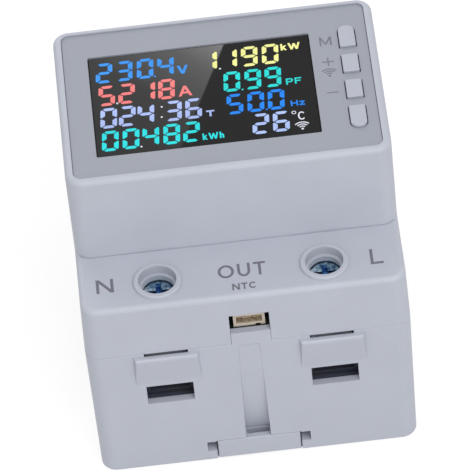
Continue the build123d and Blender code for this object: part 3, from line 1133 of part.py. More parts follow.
with BuildPart() as varistor:
    with BuildSketch(Plane((VARISTOR_X, VARISTOR_Y - VARISTOR_THICKNESS / 2,
                            MAIN_BOARD_TOP + LEAD_HEIGHT + VARISTOR_RADIUS),
                           x_dir=(1, 0, 0), z_dir=(0, 1, 0))):
        Circle(VARISTOR_RADIUS)
    extrude(amount=VARISTOR_THICKNESS)
    for sign in (-1, 1):
        upright(VARISTOR_X + sign * VARISTOR_RADIUS / 2, VARISTOR_Y, LEAD_RADIUS, MAIN_BOARD_TOP,
                MAIN_BOARD_TOP + LEAD_HEIGHT + VARISTOR_RADIUS / 2)
save(varistor.part, "varistor")

with BuildPart() as fuse_resistor:
    with BuildSketch(Plane((FUSE_X - FUSE_LENGTH / 2, FUSE_Y, MAIN_BOARD_TOP + LEAD_HEIGHT + FUSE_RADIUS),
                           x_dir=(0, 1, 0), z_dir=(1, 0, 0))):
        Circle(FUSE_RADIUS)
    extrude(amount=FUSE_LENGTH)
    for sign in (-1, 1):
        upright(FUSE_X + sign * (FUSE_LENGTH / 2 - FUSE_RADIUS), FUSE_Y, LEAD_RADIUS, MAIN_BOARD_TOP,
                MAIN_BOARD_TOP + LEAD_HEIGHT + FUSE_RADIUS)
save(fuse_resistor.part, "fuse_resistor")

with BuildPart() as metering_chip:
    with Locations((CHIP_X, CHIP_Y, MAIN_BOARD_TOP + CHIP_STANDOFF)):
        Box(CHIP_WIDTH, CHIP_LENGTH, CHIP_HEIGHT, align=(Align.CENTER, Align.CENTER, Align.MIN))
    for place in range(CHIP_LEG_COUNT):
        leg_x = CHIP_X + (place - (CHIP_LEG_COUNT - 1) / 2) * CHIP_LEG_SPACING
        leg_half = CHIP_LENGTH / 2 + CHIP_LEG_REACH
        leg_span = (leg_x - CHIP_LEG_WIDTH / 2, leg_x + CHIP_LEG_WIDTH / 2)
        span_box(leg_span, (CHIP_Y - leg_half, CHIP_Y + leg_half),
                 (MAIN_BOARD_TOP, MAIN_BOARD_TOP + CHIP_STANDOFF))
save(metering_chip.part, "metering_chip")

with BuildPart() as wireless_module:
    with Locations((WIRELESS_X, WIRELESS_Y, MAIN_BOARD_TOP)):
        Box(WIRELESS_WIDTH, WIRELESS_LENGTH, WIRELESS_BOARD, align=(Align.CENTER, Align.CENTER, Align.MIN))
save(wireless_module.part, "wireless_module")

with BuildPart() as wireless_shield:
    shield_y = WIRELESS_Y - (WIRELESS_LENGTH - SHIELD_LENGTH) / 2 + (WIRELESS_WIDTH - SHIELD_WIDTH) / 2
    with Locations((WIRELESS_X, shield_y, MAIN_BOARD_TOP + WIRELESS_BOARD)):
        Box(SHIELD_WIDTH, SHIELD_LENGTH, SHIELD_HEIGHT, align=(Align.CENTER, Align.CENTER, Align.MIN))
    fillet(wireless_shield.faces().sort_by(Axis.Z)[-1].edges(), SHIELD_EDGE_RADIUS)
save(wireless_shield.part, "wireless_shield")
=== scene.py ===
import json
import math

import bmesh
import bpy
from mathutils import Matrix, Vector


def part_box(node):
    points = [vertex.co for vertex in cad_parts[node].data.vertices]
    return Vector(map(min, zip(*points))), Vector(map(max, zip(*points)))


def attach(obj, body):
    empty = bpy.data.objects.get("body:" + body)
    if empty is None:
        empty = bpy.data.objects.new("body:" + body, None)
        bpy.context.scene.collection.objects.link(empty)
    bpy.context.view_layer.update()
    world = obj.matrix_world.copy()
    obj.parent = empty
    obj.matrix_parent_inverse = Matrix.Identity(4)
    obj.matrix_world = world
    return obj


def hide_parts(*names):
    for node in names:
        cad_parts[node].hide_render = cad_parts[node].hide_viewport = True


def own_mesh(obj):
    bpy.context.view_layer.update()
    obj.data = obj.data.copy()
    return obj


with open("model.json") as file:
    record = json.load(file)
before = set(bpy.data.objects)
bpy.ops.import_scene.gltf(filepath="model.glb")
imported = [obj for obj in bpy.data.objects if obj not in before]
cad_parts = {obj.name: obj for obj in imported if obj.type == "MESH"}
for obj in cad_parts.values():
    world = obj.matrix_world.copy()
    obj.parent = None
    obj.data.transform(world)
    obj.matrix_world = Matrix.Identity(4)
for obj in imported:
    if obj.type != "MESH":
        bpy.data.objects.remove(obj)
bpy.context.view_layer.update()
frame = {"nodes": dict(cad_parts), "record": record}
nodes = frame["nodes"]
record = frame["record"]

MM = 0.001
WHITE = (1.0, 1.0, 1.0)

# Heights in millimetres: the first three from the frame, the shoulder's as in the part's source
PANEL_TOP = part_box("face_plate")[1].z / MM
LENS_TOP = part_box("display_window")[1].z / MM
SCREW_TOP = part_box("out_live_screw")[1].z / MM
SHOULDER_TOP = 51.5
# How far a print stands above its surface and reaches into it, and what each stroke adds
PRINT_RISE = 0.02
PRINT_ROOT = 0.012
STROKE_STEP = 0.002


# Colour helpers
def linear(red, green, blue):
    """An sRGB colour in 0-255 as linear values."""
    made = []
    for value in (red, green, blue):
        share = value / 255
        made.append(share / 12.92 if share <= 0.04045 else ((share + 0.055) / 1.055) ** 2.4)
    return tuple(made)


def rgba(colour):
    """A colour with full opacity, as the sockets take it."""
    return (*colour, 1.0)


# Node helpers
def layered(tree, value, steps):
    """A colour that runs through steps of (value, colour), the values rising from 0 to 1."""
    ramp = tree.nodes.new("ShaderNodeValToRGB")
    stops = ramp.color_ramp.elements
    stops.remove(stops[1])
    stops[0].position = steps[0][0]
    for at, colour in steps[1:]:
        stops.new(at)
    for stop, (at, colour) in zip(stops, steps):
        stop.color = rgba(colour)
    tree.links.new(value, ramp.inputs["Fac"])
    return ramp.outputs["Color"]


def calculated(tree, operation, *values):
    """The result of a maths node on values, each of them a socket or a number."""
    node = tree.nodes.new("ShaderNodeMath")
    node.operation = operation
    for i, value in enumerate(values):
        if isinstance(value, bpy.types.NodeSocket):
            tree.links.new(value, node.inputs[i])
        else:
            node.inputs[i].default_value = value
    return node.outputs[0]


# Materials
class Look:
    """A Principled material under construction, with the nodes that most of them need."""

    def __init__(self, name, colour, roughness, metallic=0.0, specular=0.5):
        self.material = bpy.data.materials.new(name)
        self.material.use_nodes = True
        self.tree = self.material.node_tree
        self.shader = self.tree.nodes["Principled BSDF"]
        self.colour = colour
        self.shader.inputs["Base Color"].default_value = rgba(colour)
        self.shader.inputs["Roughness"].default_value = roughness
        self.shader.inputs["Metallic"].default_value = metallic
        self.shader.inputs["Specular IOR Level"].default_value = specular
        self.place = self.add("ShaderNodeTexCoord").outputs["Object"]
        self.normal = None

    def add(self, kind, **values):
        """A new node with its properties set."""
        node = self.tree.nodes.new(kind)
        for key, value in values.items():
            setattr(node, key, value)
        return node

    def link(self, source, target):
        """A link from one socket to another."""
        self.tree.links.new(source, target)

    def along(self, axis):
        """The place along X, Y or Z in metres."""
        parts = self.add("ShaderNodeSeparateXYZ")
        self.link(self.place, parts.inputs["Vector"])
        return parts.outputs[axis]

    def stretched(self, shares):
        """The place, scaled along each axis, for grain that runs one way."""
        mapping = self.add("ShaderNodeMapping")
        mapping.inputs["Scale"].default_value = shares
        self.link(self.place, mapping.inputs["Vector"])
        return mapping.outputs["Vector"]

    def noise(self, size, detail=2.0, roughness=0.5, place=None):
        """Noise with features of that size in millimetres."""
        node = self.add("ShaderNodeTexNoise")
        node.inputs["Scale"].default_value = 1 / (size * MM)
        node.inputs["Detail"].default_value = detail
        node.inputs["Roughness"].default_value = roughness
        self.link(place or self.place, node.inputs["Vector"])
        return node.outputs["Fac"]

    def spread(self, value, low, high, start=0.3, end=0.7):
        """value from start..end to low..high."""
        node = self.add("ShaderNodeMapRange")
        node.inputs["From Min"].default_value = start
        node.inputs["From Max"].default_value = end
        node.inputs["To Min"].default_value = low
        node.inputs["To Max"].default_value = high
        self.link(value, node.inputs["Value"])
        return node.outputs["Result"]

    def mixed(self, value, first, second):
        """A mix, by value from 0 to 1, of two colours, each of them a socket or three numbers."""
        mix = self.add("ShaderNodeMix", data_type="RGBA")
        self.link(value, mix.inputs["Factor"])
        for name, colour in (("A", first), ("B", second)):
            if isinstance(colour, bpy.types.NodeSocket):
                self.link(colour, mix.inputs[name])
            else:
                mix.inputs[name].default_value = rgba(colour)
        return mix.outputs["Result"]

    def paint(self, colour):
        """A colour socket into the base colour."""
        self.link(colour, self.shader.inputs["Base Color"])

    def mottle(self, size, share):
        """The base colour, lighter and darker by a share in soft patches."""
        low = tuple(c * (1 - share) for c in self.colour)
        high = tuple(min(1.0, c * (1 + share)) for c in self.colour)
        self.paint(self.mixed(self.spread(self.noise(size, 3.0), 0, 1), low, high))

    def rough(self, value, low, high):
        """The roughness from low to high, by value."""
        self.link(self.spread(value, low, high), self.shader.inputs["Roughness"])

    def soft_edges(self, radius):
        """Edges that catch the light as if rounded by that radius in millimetres."""
        node = self.add("ShaderNodeBevel", samples=4)
        node.inputs["Radius"].default_value = radius * MM
        self.normal = node.outputs["Normal"]
        self.link(self.normal, self.shader.inputs["Normal"])

    def bump(self, value, height, strength=1.0):
        """A bump of that height in millimetres, over any earlier one."""
        node = self.add("ShaderNodeBump")
        node.inputs["Strength"].default_value = strength
        node.inputs["Distance"].default_value = height * MM
        self.link(value, node.inputs["Height"])
        if self.normal:
            self.link(self.normal, node.inputs["Normal"])
        self.normal = node.outputs["Normal"]
        self.link(self.normal, self.shader.inputs["Normal"])


def moulded(name, colour, roughness=0.48, grain=0.14, depth=0.004, share=0.018, edge=0.18):
    """Injection-moulded plastic: spark-eroded grain, faint flow patches, softened edges."""
    look = Look(name, colour, roughness)
    look.mottle(9.0, share)
    fine = look.noise(grain, 3.0, 0.6)
    look.rough(fine, roughness - 0.05, roughness + 0.06)
    look.soft_edges(edge)
    look.bump(fine, depth, 0.6)
    look.bump(look.noise(2.6, 1.0), 0.01, 0.35)
    return look.material


# The screw's plating: its colours along the cloudy noise, the brightest of them a painted glint; then
# the colour of the painted shade in the recess, and how far below the screw's top in millimetres that
# painted shade starts and is full
PLATING_AND_GLINT_STEPS = ((0.38, (0.08, 0.15, 0.27)), (0.47, (0.19, 0.31, 0.44)),
                 (0.56, (0.34, 0.50, 0.60)), (0.66, (0.80, 0.90, 0.93)))
RECESS_SHADE_COLOUR = (0.07, 0.14, 0.28)
RECESS_SHADE_START = 0.75
RECESS_SHADE_END = 0.95


def screw_steel(name):
    """Blued zinc on a terminal screw: cloudy patches, painted glints and painted shade in the recess."""
    look = Look(name, (0.18, 0.29, 0.42), 0.3, metallic=1.0)
    cloud = look.noise(1.3, 3.0, 0.6)
    plating_and_glints = layered(look.tree, cloud, PLATING_AND_GLINT_STEPS)
    # Painted shade: darker below the screw's top, where the recess lies
    recess_shade = look.spread(look.along("Z"), 1, 0, (SCREW_TOP - RECESS_SHADE_END) * MM,
                       (SCREW_TOP - RECESS_SHADE_START) * MM)
    look.paint(look.mixed(recess_shade, plating_and_glints, RECESS_SHADE_COLOUR))
    look.rough(look.noise(0.5, 3.0), 0.22, 0.42)
    look.bump(cloud, 0.05, 0.5)
    look.bump(look.noise(0.3, 3.0), 0.01, 0.5)
    return look.material


def metal(name, colour, roughness):
    """Plated metal with drawn grain and patches of colour."""
    look = Look(name, colour, roughness, metallic=1.0)
    look.mottle(1.4, 0.08)
    drawn = look.noise(0.25, 4.0, 0.6, look.stretched((1, 1, 14)))
    look.rough(drawn, roughness - 0.06, roughness + 0.12)
    look.soft_edges(0.12)
    look.bump(drawn, 0.004, 0.5)
    return look.material


def board(name, colour):
    """A circuit board: solder mask with tracks showing through."""
    look = Look(name, colour, 0.34)
    cells = look.add("ShaderNodeTexVoronoi", feature="DISTANCE_TO_EDGE", distance="CHEBYCHEV")
    cells.inputs["Scale"].default_value = 1 / (3.2 * MM)
    look.link(look.place, cells.inputs["Vector"])
    tracks = look.spread(cells.outputs["Distance"], 0, 1, 0.05, 0.08)
    lighter = tuple(min(1.0, c * 1.7 + 0.02) for c in colour)
    look.paint(look.mixed(tracks, lighter, colour))
    look.soft_edges(0.08)
    look.bump(tracks, -0.03, 0.6)
    return look.material


# Where the socket's hollow begins and where its browner, darker colour is full, along Y in millimetres
HOLLOW_START = -39.66
HOLLOW_DARKEST = -39.2


def socket_nylon(name):
    """Natural nylon, browner and darker inwards in the hollow that the sensor plug goes into."""
    look = Look(name, linear(216, 206, 194), 0.42)
    depth = look.spread(look.along("Y"), 0, 1, HOLLOW_START * MM, HOLLOW_DARKEST * MM)
    patches = look.spread(look.noise(0.6, 4.0), 0, 1)
    hollow_tone = look.mixed(patches, linear(206, 190, 166), linear(142, 122, 100))
    look.paint(look.mixed(depth, linear(212, 200, 184), hollow_tone))
    look.soft_edges(0.08)
    look.bump(look.noise(0.3, 2.0), 0.006, 0.6)
    return look.material


def dark_lens(name):
    """Dark acrylic over the display, polished, with faint haze."""
    look = Look(name, (0.0095, 0.0095, 0.0105), 0.012, specular=0.16)
    look.rough(look.noise(1.5, 3.0), 0.006, 0.018)
    look.bump(look.noise(9.0, 1.0), 0.0006, 0.2)
    return look.material


def lit(name, colour):
    """A display segment: it glows in its own colour, a little uneven as over a light guide."""
    look = Look(name, (0.0, 0.0, 0.0), 0.3, specular=0.1)
    look.shader.inputs["Emission Strength"].default_value = 1.0
    uneven = look.spread(look.noise(5.0, 1.0), 0, 1)
    low, high = (tuple(min(1.0, c * share) for c in colour) for share in (0.92, 1.05))
    look.link(look.mixed(uneven, low, high), look.shader.inputs["Emission Color"])
    return look.material


def ink(name, colour):
    """Pad-printed ink: thin, a little uneven, over the grain of the plastic."""
    look = Look(name, colour, 0.5)
    look.mottle(0.5, 0.10)
    look.bump(look.noise(0.16, 2.0), 0.003, 0.5)
    return look.material


HOUSING = (0.474, 0.497, 0.565)
PANEL = (0.312, 0.330, 0.382)

# One look for each material slot of the record
LOOKS = {
    "housing_plastic": moulded("housing_plastic", HOUSING),
    "panel_plastic": moulded("panel_plastic", PANEL, 0.42, 0.1, 0.002, 0.012, 0.1),
    "key_plastic": moulded("key_plastic", linear(176, 180, 192), 0.4, 0.1, 0.002, 0.01, 0.1),
    "clip_plastic": moulded("clip_plastic", tuple(c * 0.985 for c in HOUSING)),
    "window_plastic": dark_lens("window_plastic"),
    "display_glass": moulded("display_glass", (0.03, 0.03, 0.035), 0.12, 0.4, 0.001, 0.05, 0.05),
    "light_guide": moulded("light_guide", (0.82, 0.82, 0.8), 0.2, 0.5, 0.001, 0.02, 0.05),
    "frame_plastic": moulded("frame_plastic", (0.75, 0.75, 0.72)),
    # Painted shade: the near-black mask makes the gaps beside the sensor socket, where the board shows,
    # look dark
    "circuit_board": board("circuit_board", (0.012, 0.020, 0.016)),
    "switch_plastic": moulded("switch_plastic", (0.02, 0.02, 0.022)),
    "plunger_plastic": moulded("plunger_plastic", (0.55, 0.52, 0.45)),
    "zinc_steel": screw_steel("zinc_steel"),
    "black_steel": moulded("black_steel", linear(70, 73, 85), 0.45, 0.3, 0.002, 0.05, 0.1),
    # Painted shade: the liner's dark grey darkens the inside of each wire entry as shade would
    "liner_plastic": moulded("liner_plastic", linear(88, 92, 108), 0.6),
    "tinned_copper": metal("tinned_copper", (0.72, 0.55, 0.45), 0.34),
    "shunt_alloy": metal("shunt_alloy", (0.60, 0.48, 0.34), 0.4),
    "relay_plastic": moulded("relay_plastic", (0.025, 0.025, 0.03), 0.35),
    "spring_steel": metal("spring_steel", (0.45, 0.46, 0.48), 0.25),
    "socket_nylon": socket_nylon("socket_nylon"),
    "pin_metal": metal("pin_metal", (0.36, 0.28, 0.19), 0.45),
    "connector_plastic": moulded("connector_plastic", (0.02, 0.02, 0.02)),
    "transformer_body": moulded("transformer_body", (0.05, 0.05, 0.05), 0.6),
    "capacitor_sleeve": metal("capacitor_sleeve", (0.07, 0.09, 0.16), 0.3),
    "filter_plastic": moulded("filter_plastic", (0.5, 0.34, 0.05)),
    "varistor_coat": moulded("varistor_coat", (0.03, 0.08, 0.3), 0.3),
    "fuse_coat": moulded("fuse_coat", (0.12, 0.28, 0.16), 0.3),
    "chip_plastic": moulded("chip_plastic", (0.015, 0.015, 0.016), 0.5),
    "shield_metal": metal("shield_metal", (0.6, 0.6, 0.58), 0.3),
}

for row in record["subparts"]:
    data = nodes[row["node"]].data
    data.materials.clear()
    data.materials.append(LOOKS[row["material_slot"]])


# Flat prints
def area_of(outline):
    """Twice the area inside an outline, above 0 where it runs anticlockwise."""
    return sum(x0 * y1 - x1 * y0 for (x0, y0), (x1, y1) in zip(outline, outline[1:] + outline[:1]))


def prism(mesh, outline, low, high):
    """A closed plate on an outline of (x, y) in millimetres, between two heights."""
    if area_of(outline) < 0:
        outline = outline[::-1]
    bottom = [mesh.verts.new((x * MM, y * MM, low * MM)) for x, y in outline]
    top = [mesh.verts.new((x * MM, y * MM, high * MM)) for x, y in outline]
    mesh.faces.new(bottom[::-1])
    mesh.faces.new(top)
    for i in range(len(outline)):
        j = (i + 1) % len(outline)
        mesh.faces.new((bottom[i], bottom[j], top[j], top[i]))


def ribbon(mesh, middle, width, low, high, closed=False):
    """A plate that follows a smooth line with one width."""
    count = len(middle)
    left, right = [], []
    for i, point in enumerate(middle):
        before = middle[i - 1] if i or closed else point
        after = middle[(i + 1) % count] if i < count - 1 or closed else point
        along = Vector(after) - Vector(before)
        side = Vector((-along.y, along.x)).normalized() * width / 2
        left.append((point[0] + side.x, point[1] + side.y))
        right.append((point[0] - side.x, point[1] - side.y))
    if not closed:
        prism(mesh, left + right[::-1], low, high)
        return
    rings = [[mesh.verts.new((x * MM, y * MM, z * MM)) for x, y in line]
             for line, z in ((left, low), (right, low), (right, high), (left, high))]
    for i in range(count):
        j = (i + 1) % count
        for a, b in zip(rings, rings[1:] + rings[:1]):
            mesh.faces.new((a[i], a[j], b[j], b[i]))


def arc(cx, cy, rx, ry, start, end, steps=20):
    """Points on an ellipse between two angles in degrees."""
    return [(cx + rx * math.cos(math.radians(start + (end - start) * i / steps)),
             cy + ry * math.sin(math.radians(start + (end - start) * i / steps)))
            for i in range(steps + 1)]


# Each letter: its width in heights, then its strokes. A bar has its ends cut level, a beam is
# level, a bow is part of an ellipse and a ring is a whole one.
LETTERS = {
    "N": (0.94, ("bar", 0, 0, 0, 1), ("bar", 1, 0, 1, 1), ("bar", 0, 1, 1, 0)),
    "L": (0.62, ("bar", 0, 0, 0, 1), ("beam", 0, 1, 0)),
    "T": (0.80, ("beam", 0, 1, 1), ("bar", 0.5, 0, 0.5, 1)),
    "I": (0.14, ("bar", 0.5, 0, 0.5, 1)),
    "O": (1.06, ("ring",)),
    "U": (0.84, ("bar", 0, 0.38, 0, 1), ("bar", 1, 0.38, 1, 1), ("bow", 0.5, 0.42, 0.5, 0.42, 180, 360)),
    "C": (0.92, ("bow", 0.52, 0.5, 0.52, 0.5, 42, 318)),
    "M": (1.16, ("bar", 0, 0, 0, 1), ("bar", 1, 0, 1, 1), ("bar", 0, 1, 0.5, 0.12),
          ("bar", 1, 1, 0.5, 0.12)),
    "V": (0.90, ("bar", 0, 1, 0.5, 0), ("bar", 1, 1, 0.5, 0)),
    "A": (1.00, ("bar", 0, 0, 0.5, 1), ("bar", 1, 0, 0.5, 1), ("beam", 0.2, 0.8, 0.3)),
    "k": (0.66, ("bar", 0, 0, 0, 1), ("bar", 0.95, 0.72, 0.08, 0.28), ("bar", 0.36, 0.42, 1, 0)),
    "W": (1.36, ("bar", 0, 1, 0.25, 0), ("bar", 0.5, 0.9, 0.25, 0), ("bar", 0.5, 0.9, 0.75, 0),
          ("bar", 1, 1, 0.75, 0)),
    "h": (0.60, ("bar", 0, 0, 0, 1), ("bar", 1, 0, 1, 0.38), ("bow", 0.5, 0.36, 0.5, 0.28, 0, 180)),
    "P": (0.74, ("bar", 0, 0, 0, 1), ("beam", 0, 0.62, 1), ("beam", 0, 0.62, 0.44),
          ("bow", 0.6, 0.72, 0.4, 0.28, -90, 90)),
    "F": (0.70, ("bar", 0, 0, 0, 1), ("beam", 0, 1, 1), ("beam", 0, 0.86, 0.5)),
    "H": (0.84, ("bar", 0, 0, 0, 1), ("bar", 1, 0, 1, 1), ("beam", 0, 1, 0.5)),
    "z": (0.64, ("beam", 0, 1, 0), ("beam", 0, 1, 0.72), ("bar", 0, 0, 1, 0.72)),
    "+": (1.00, ("beam", 0, 1, 0.5), ("bar", 0.5, 0, 0.5, 1)),
    "-": (1.00, ("beam", 0, 1, 0.5)),
}


def letter(mesh, name, x0, x1, y0, y1, stroke, surface):
    """One letter, drawn with strokes inside its box on a surface height."""
    half = stroke / 2
    low_x, wide = x0 + half, x1 - x0 - stroke
    low_y, tall = y0 + half, y1 - y0 - stroke
    for place, (kind, *v) in enumerate(LETTERS[name][1:]):
        low, high = surface - PRINT_ROOT, surface + PRINT_RISE + place * STROKE_STEP
        if kind == "bar":
            ax, bx = low_x + v[0] * wide, low_x + v[2] * wide
            ay = y0 + v[1] * (y1 - y0)
            by = y0 + v[3] * (y1 - y0)
            across = half * math.hypot(bx - ax, by - ay) / abs(by - ay)
            across = min(across, half * 1.5)
            prism(mesh, [(ax - across, ay), (ax + across, ay), (bx + across, by), (bx - across, by)],
                  low, high)
        elif kind == "beam":
            ax, bx = x0 + v[0] * (x1 - x0), x0 + v[1] * (x1 - x0)
            y = low_y + v[2] * tall
            prism(mesh, [(ax, y - half), (bx, y - half), (bx, y + half), (ax, y + half)], low, high)
        elif kind == "bow":
            ribbon(mesh, arc(low_x + v[0] * wide, low_y + v[1] * tall, v[2] * wide, v[3] * tall,
                             v[4], v[5]), stroke, low, high)
        else:
            ribbon(mesh, arc((x0 + x1) / 2, (y0 + y1) / 2, wide / 2, tall / 2, 0, 360, 32)[:-1],
                   stroke, low, high, closed=True)


# Gaps between letters, in letter heights: in print, and in the units on the display
LETTER_GAP = 0.22
UNIT_GAP = 0.16


def words(mesh, text, x0, x1, y0, y1, stroke, surface, gap=LETTER_GAP):
    """A word fitted to its box: the letters keep their proportions and share out the rest."""
    shares = [LETTERS[c][0] for c in text]
    unit = (x1 - x0) / (sum(shares) + gap * (len(text) - 1))
    x = x0
    for c, share in zip(text, shares):
        letter(mesh, c, x, x + share * unit, y0, y1, stroke, surface)
        x += (share + gap) * unit


# The radio sign's bows: their radii as shares of its reach, and the angles they run between
SIGNAL_BOWS = (0.38, 0.69, 1.0)
SIGNAL_ANGLES = (43, 137)


def signal(mesh, cx, foot, reach, stroke, surface):
    """A plain radio sign: three bows about a dot."""
    low, high = surface - PRINT_ROOT, surface + PRINT_RISE
    prism(mesh, arc(cx, foot, stroke, stroke, 0, 345, 23), low, high)
    for share in SIGNAL_BOWS:
        ribbon(mesh, arc(cx, foot, share * reach, share * reach, *SIGNAL_ANGLES), stroke, low, high)


def object_of(name, mesh, material):
    """A finished mesh as an object in the scene."""
    data = bpy.data.meshes.new(name)
    mesh.to_mesh(data)
    mesh.free()
    data.materials.append(material)
    made = bpy.data.objects.new(name, data)
    bpy.context.scene.collection.objects.link(made)
    return made


def piece(name, mesh, material, body="housing"):
    """A finished mesh as an object that rides on a body."""
    bmesh.ops.recalc_face_normals(mesh, faces=mesh.faces)
    made = object_of(name, mesh, material)
    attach(made, body)


spring = bpy.data.objects.new("pressed_spring", nodes["clip_spring"].data.copy())
bpy.context.scene.collection.objects.link(spring)
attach(spring, "housing")
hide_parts("clip_spring")
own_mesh(spring)


# Display digits: upright segments are THICK, level ones THIN, and DOT is the side of a point
DIGIT_WIDTH = 3.78
DIGIT_HEIGHT = 6.36
DIGIT_SLANT = 0.45
THICK = 1.12
THIN = 0.94
DOT = 0.42
SEGMENT_GAP = 0.05

# Outlines of three segments, which mirror to the other four
MIDDLE = DIGIT_HEIGHT / 2
UPPER_LEFT = [(0.0, DIGIT_HEIGHT - 0.85), (0.12, DIGIT_HEIGHT - 0.62), (0.36, DIGIT_HEIGHT - 0.42),
              (THICK, DIGIT_HEIGHT - 1.12), (THICK, MIDDLE + 0.72), (0.3, MIDDLE + 0.12),
              (0.0, MIDDLE + 0.3)]
TOP = [(0.52, DIGIT_HEIGHT - 0.36), (0.82, DIGIT_HEIGHT - 0.08), (1.1, DIGIT_HEIGHT),
       (DIGIT_WIDTH - 1.1, DIGIT_HEIGHT), (DIGIT_WIDTH - 0.82, DIGIT_HEIGHT - 0.08),
       (DIGIT_WIDTH - 0.52, DIGIT_HEIGHT - 0.36), (DIGIT_WIDTH - 1.12, DIGIT_HEIGHT - THIN),
       (1.12, DIGIT_HEIGHT - THIN)]
CENTRE = [(0.42, MIDDLE), (1.02, MIDDLE + THIN / 2), (DIGIT_WIDTH - 1.02, MIDDLE + THIN / 2),
          (DIGIT_WIDTH - 0.42, MIDDLE), (DIGIT_WIDTH - 1.02, MIDDLE - THIN / 2),
          (1.02, MIDDLE - THIN / 2)]


def flip_x(outline):
    """An outline mirrored from left to right in the digit's box."""
    return [(DIGIT_WIDTH - x, y) for x, y in outline]


def flip_y(outline):
    """An outline mirrored from top to bottom in the digit's box."""
    return [(x, DIGIT_HEIGHT - y) for x, y in outline]


def drawn_in(outline, by):
    """A convex outline with each side moved inwards."""
    corners = [Vector(point) for point in (outline if area_of(outline) > 0 else outline[::-1])]
    made = []
    for before, corner, after in zip(corners[-1:] + corners, corners, corners[1:] + corners[:1]):
        first, second = (corner - before).normalized(), (after - corner).normalized()
        bisector = Vector((-first.y - second.y, first.x + second.x))
        made.append(tuple(corner + bisector * by / (1 + first.dot(second))))
    return made


SEGMENTS = {"a": TOP, "b": flip_x(UPPER_LEFT), "c": flip_x(flip_y(UPPER_LEFT)), "d": flip_y(TOP),
            "e": flip_y(UPPER_LEFT), "f": UPPER_LEFT, "g": CENTRE}
NUMERALS = {"0": "abcdef", "1": "bc", "2": "abged", "3": "abgcd", "4": "fgbc", "5": "afgcd",
            "6": "afgedc", "7": "abc", "8": "abcdefg", "9": "abcdfg"}


def digit(mesh, numeral, x, y):
    """One numeral of lit segments, its lower left corner at x, y."""
    for name in NUMERALS[numeral]:
        outline = [(x + px + DIGIT_SLANT * py / DIGIT_HEIGHT, y + py)
                   for px, py in drawn_in(SEGMENTS[name], SEGMENT_GAP)]
        prism(mesh, outline, LENS_TOP - PRINT_ROOT, LENS_TOP + PRINT_RISE)


def dot(mesh, x, y):
    """A square point with its corners cut."""
    half, cut = DOT / 2, DOT / 5
    corner = [(half, half - cut), (half - cut, half)]
    ring = [p for sx, sy, order in ((1, 1, 1), (-1, 1, -1), (-1, -1, 1), (1, -1, -1))
            for p in [(x + sx * a, y + sy * b) for a, b in corner[::order]]]
    prism(mesh, ring, LENS_TOP - PRINT_ROOT, LENS_TOP + PRINT_RISE)


# Each reading: its name, colour, numerals, the left edge of each, the baseline and its own points,
# then its unit as text, x0, x1, y0, y1 and stroke
READINGS = (
    ("voltage", (64, 156, 250), "2304", (-27.1, -22.6, -17.95, -13.4), 6.87, ((-13.85, 7.22),),
     ("V", -8.85, -6.4, 7.1, 9.75, 0.6)),
    ("current", (255, 134, 134), "5218", (-27.0, -22.6, -18.1, -13.75), -0.4, (),
     ("A", -9.1, -6.1, -0.05, 3.15, 0.6)),
    ("hours", (178, 196, 250), "02436", (-27.05, -22.95, -18.85, -12.75, -8.3), -7.5, (),
     ("T", -3.55, -1.75, -7.35, -5.45, 0.46)),
    ("energy", (44, 228, 232), "00482", (-27.2, -22.65, -18.3, -13.7, -9.35), -14.68, (),
     ("kWh", -4.95, -0.25, -14.48, -12.5, 0.36)),
    ("power", (250, 250, 160), "1190", (-3.75, 0.7, 5.28, 9.93), 7.0, (),
     ("kW", 14.5, 18.85, 10.85, 12.95, 0.45)),
    ("factor", (40, 226, 222), "099", (0.76, 5.42, 9.86), -0.38, ((5.0, -0.1),),
     ("PF", 14.7, 18.15, -0.2, 1.75, 0.36)),
    ("frequency", (34, 140, 252), "500", (0.83, 5.44, 9.93), -7.58, ((9.75, -7.2),),
     ("Hz", 15.1, 18.2, -7.08, -5.35, 0.34)),
    ("temperature", (178, 200, 252), "26", (5.92, 10.42), -14.63, (), None),
)
WHITE_POINTS = ((-22.75, 0.02), (-18.45, -14.33), (0.62, 7.3), (-13.35, -5.85), (-13.1, -2.65))
# The sign for degrees: its ring's middle, radii and stroke, then its letter as a word
DEGREE_RING = (15.5, -9.15, 0.42, 0.42)
DEGREE_STROKE = 0.17
DEGREE_LETTER = ("C", 16.3, 17.9, -11.65, -9.1, 0.32)
# The two radio signs: middle, foot, reach and stroke
DISPLAY_SIGNAL = (16.95, -14.45, 2.05, 0.28)
PANEL_SIGNAL = (24.45, 0.8, 2.15, 0.33)

for name, colour, numerals, places, base, points, unit in READINGS:
    mesh = bmesh.new()
    for numeral, x in zip(numerals, places):
        digit(mesh, numeral, x, base)
    for x, y in points:
        dot(mesh, x, y)
    if unit:
        words(mesh, *unit, LENS_TOP, UNIT_GAP)
    piece(f"reading_{name}", mesh, lit(f"reading_{name}", linear(*colour)))

mesh = bmesh.new()
for x, y in WHITE_POINTS:
    dot(mesh, x, y)
ribbon(mesh, arc(*DEGREE_RING, 0, 360)[:-1], DEGREE_STROKE, LENS_TOP - PRINT_ROOT,
       LENS_TOP + PRINT_RISE, closed=True)
words(mesh, *DEGREE_LETTER, LENS_TOP)
signal(mesh, *DISPLAY_SIGNAL, LENS_TOP)
piece("reading_signs", mesh, lit("reading_signs", linear(236, 240, 252)))


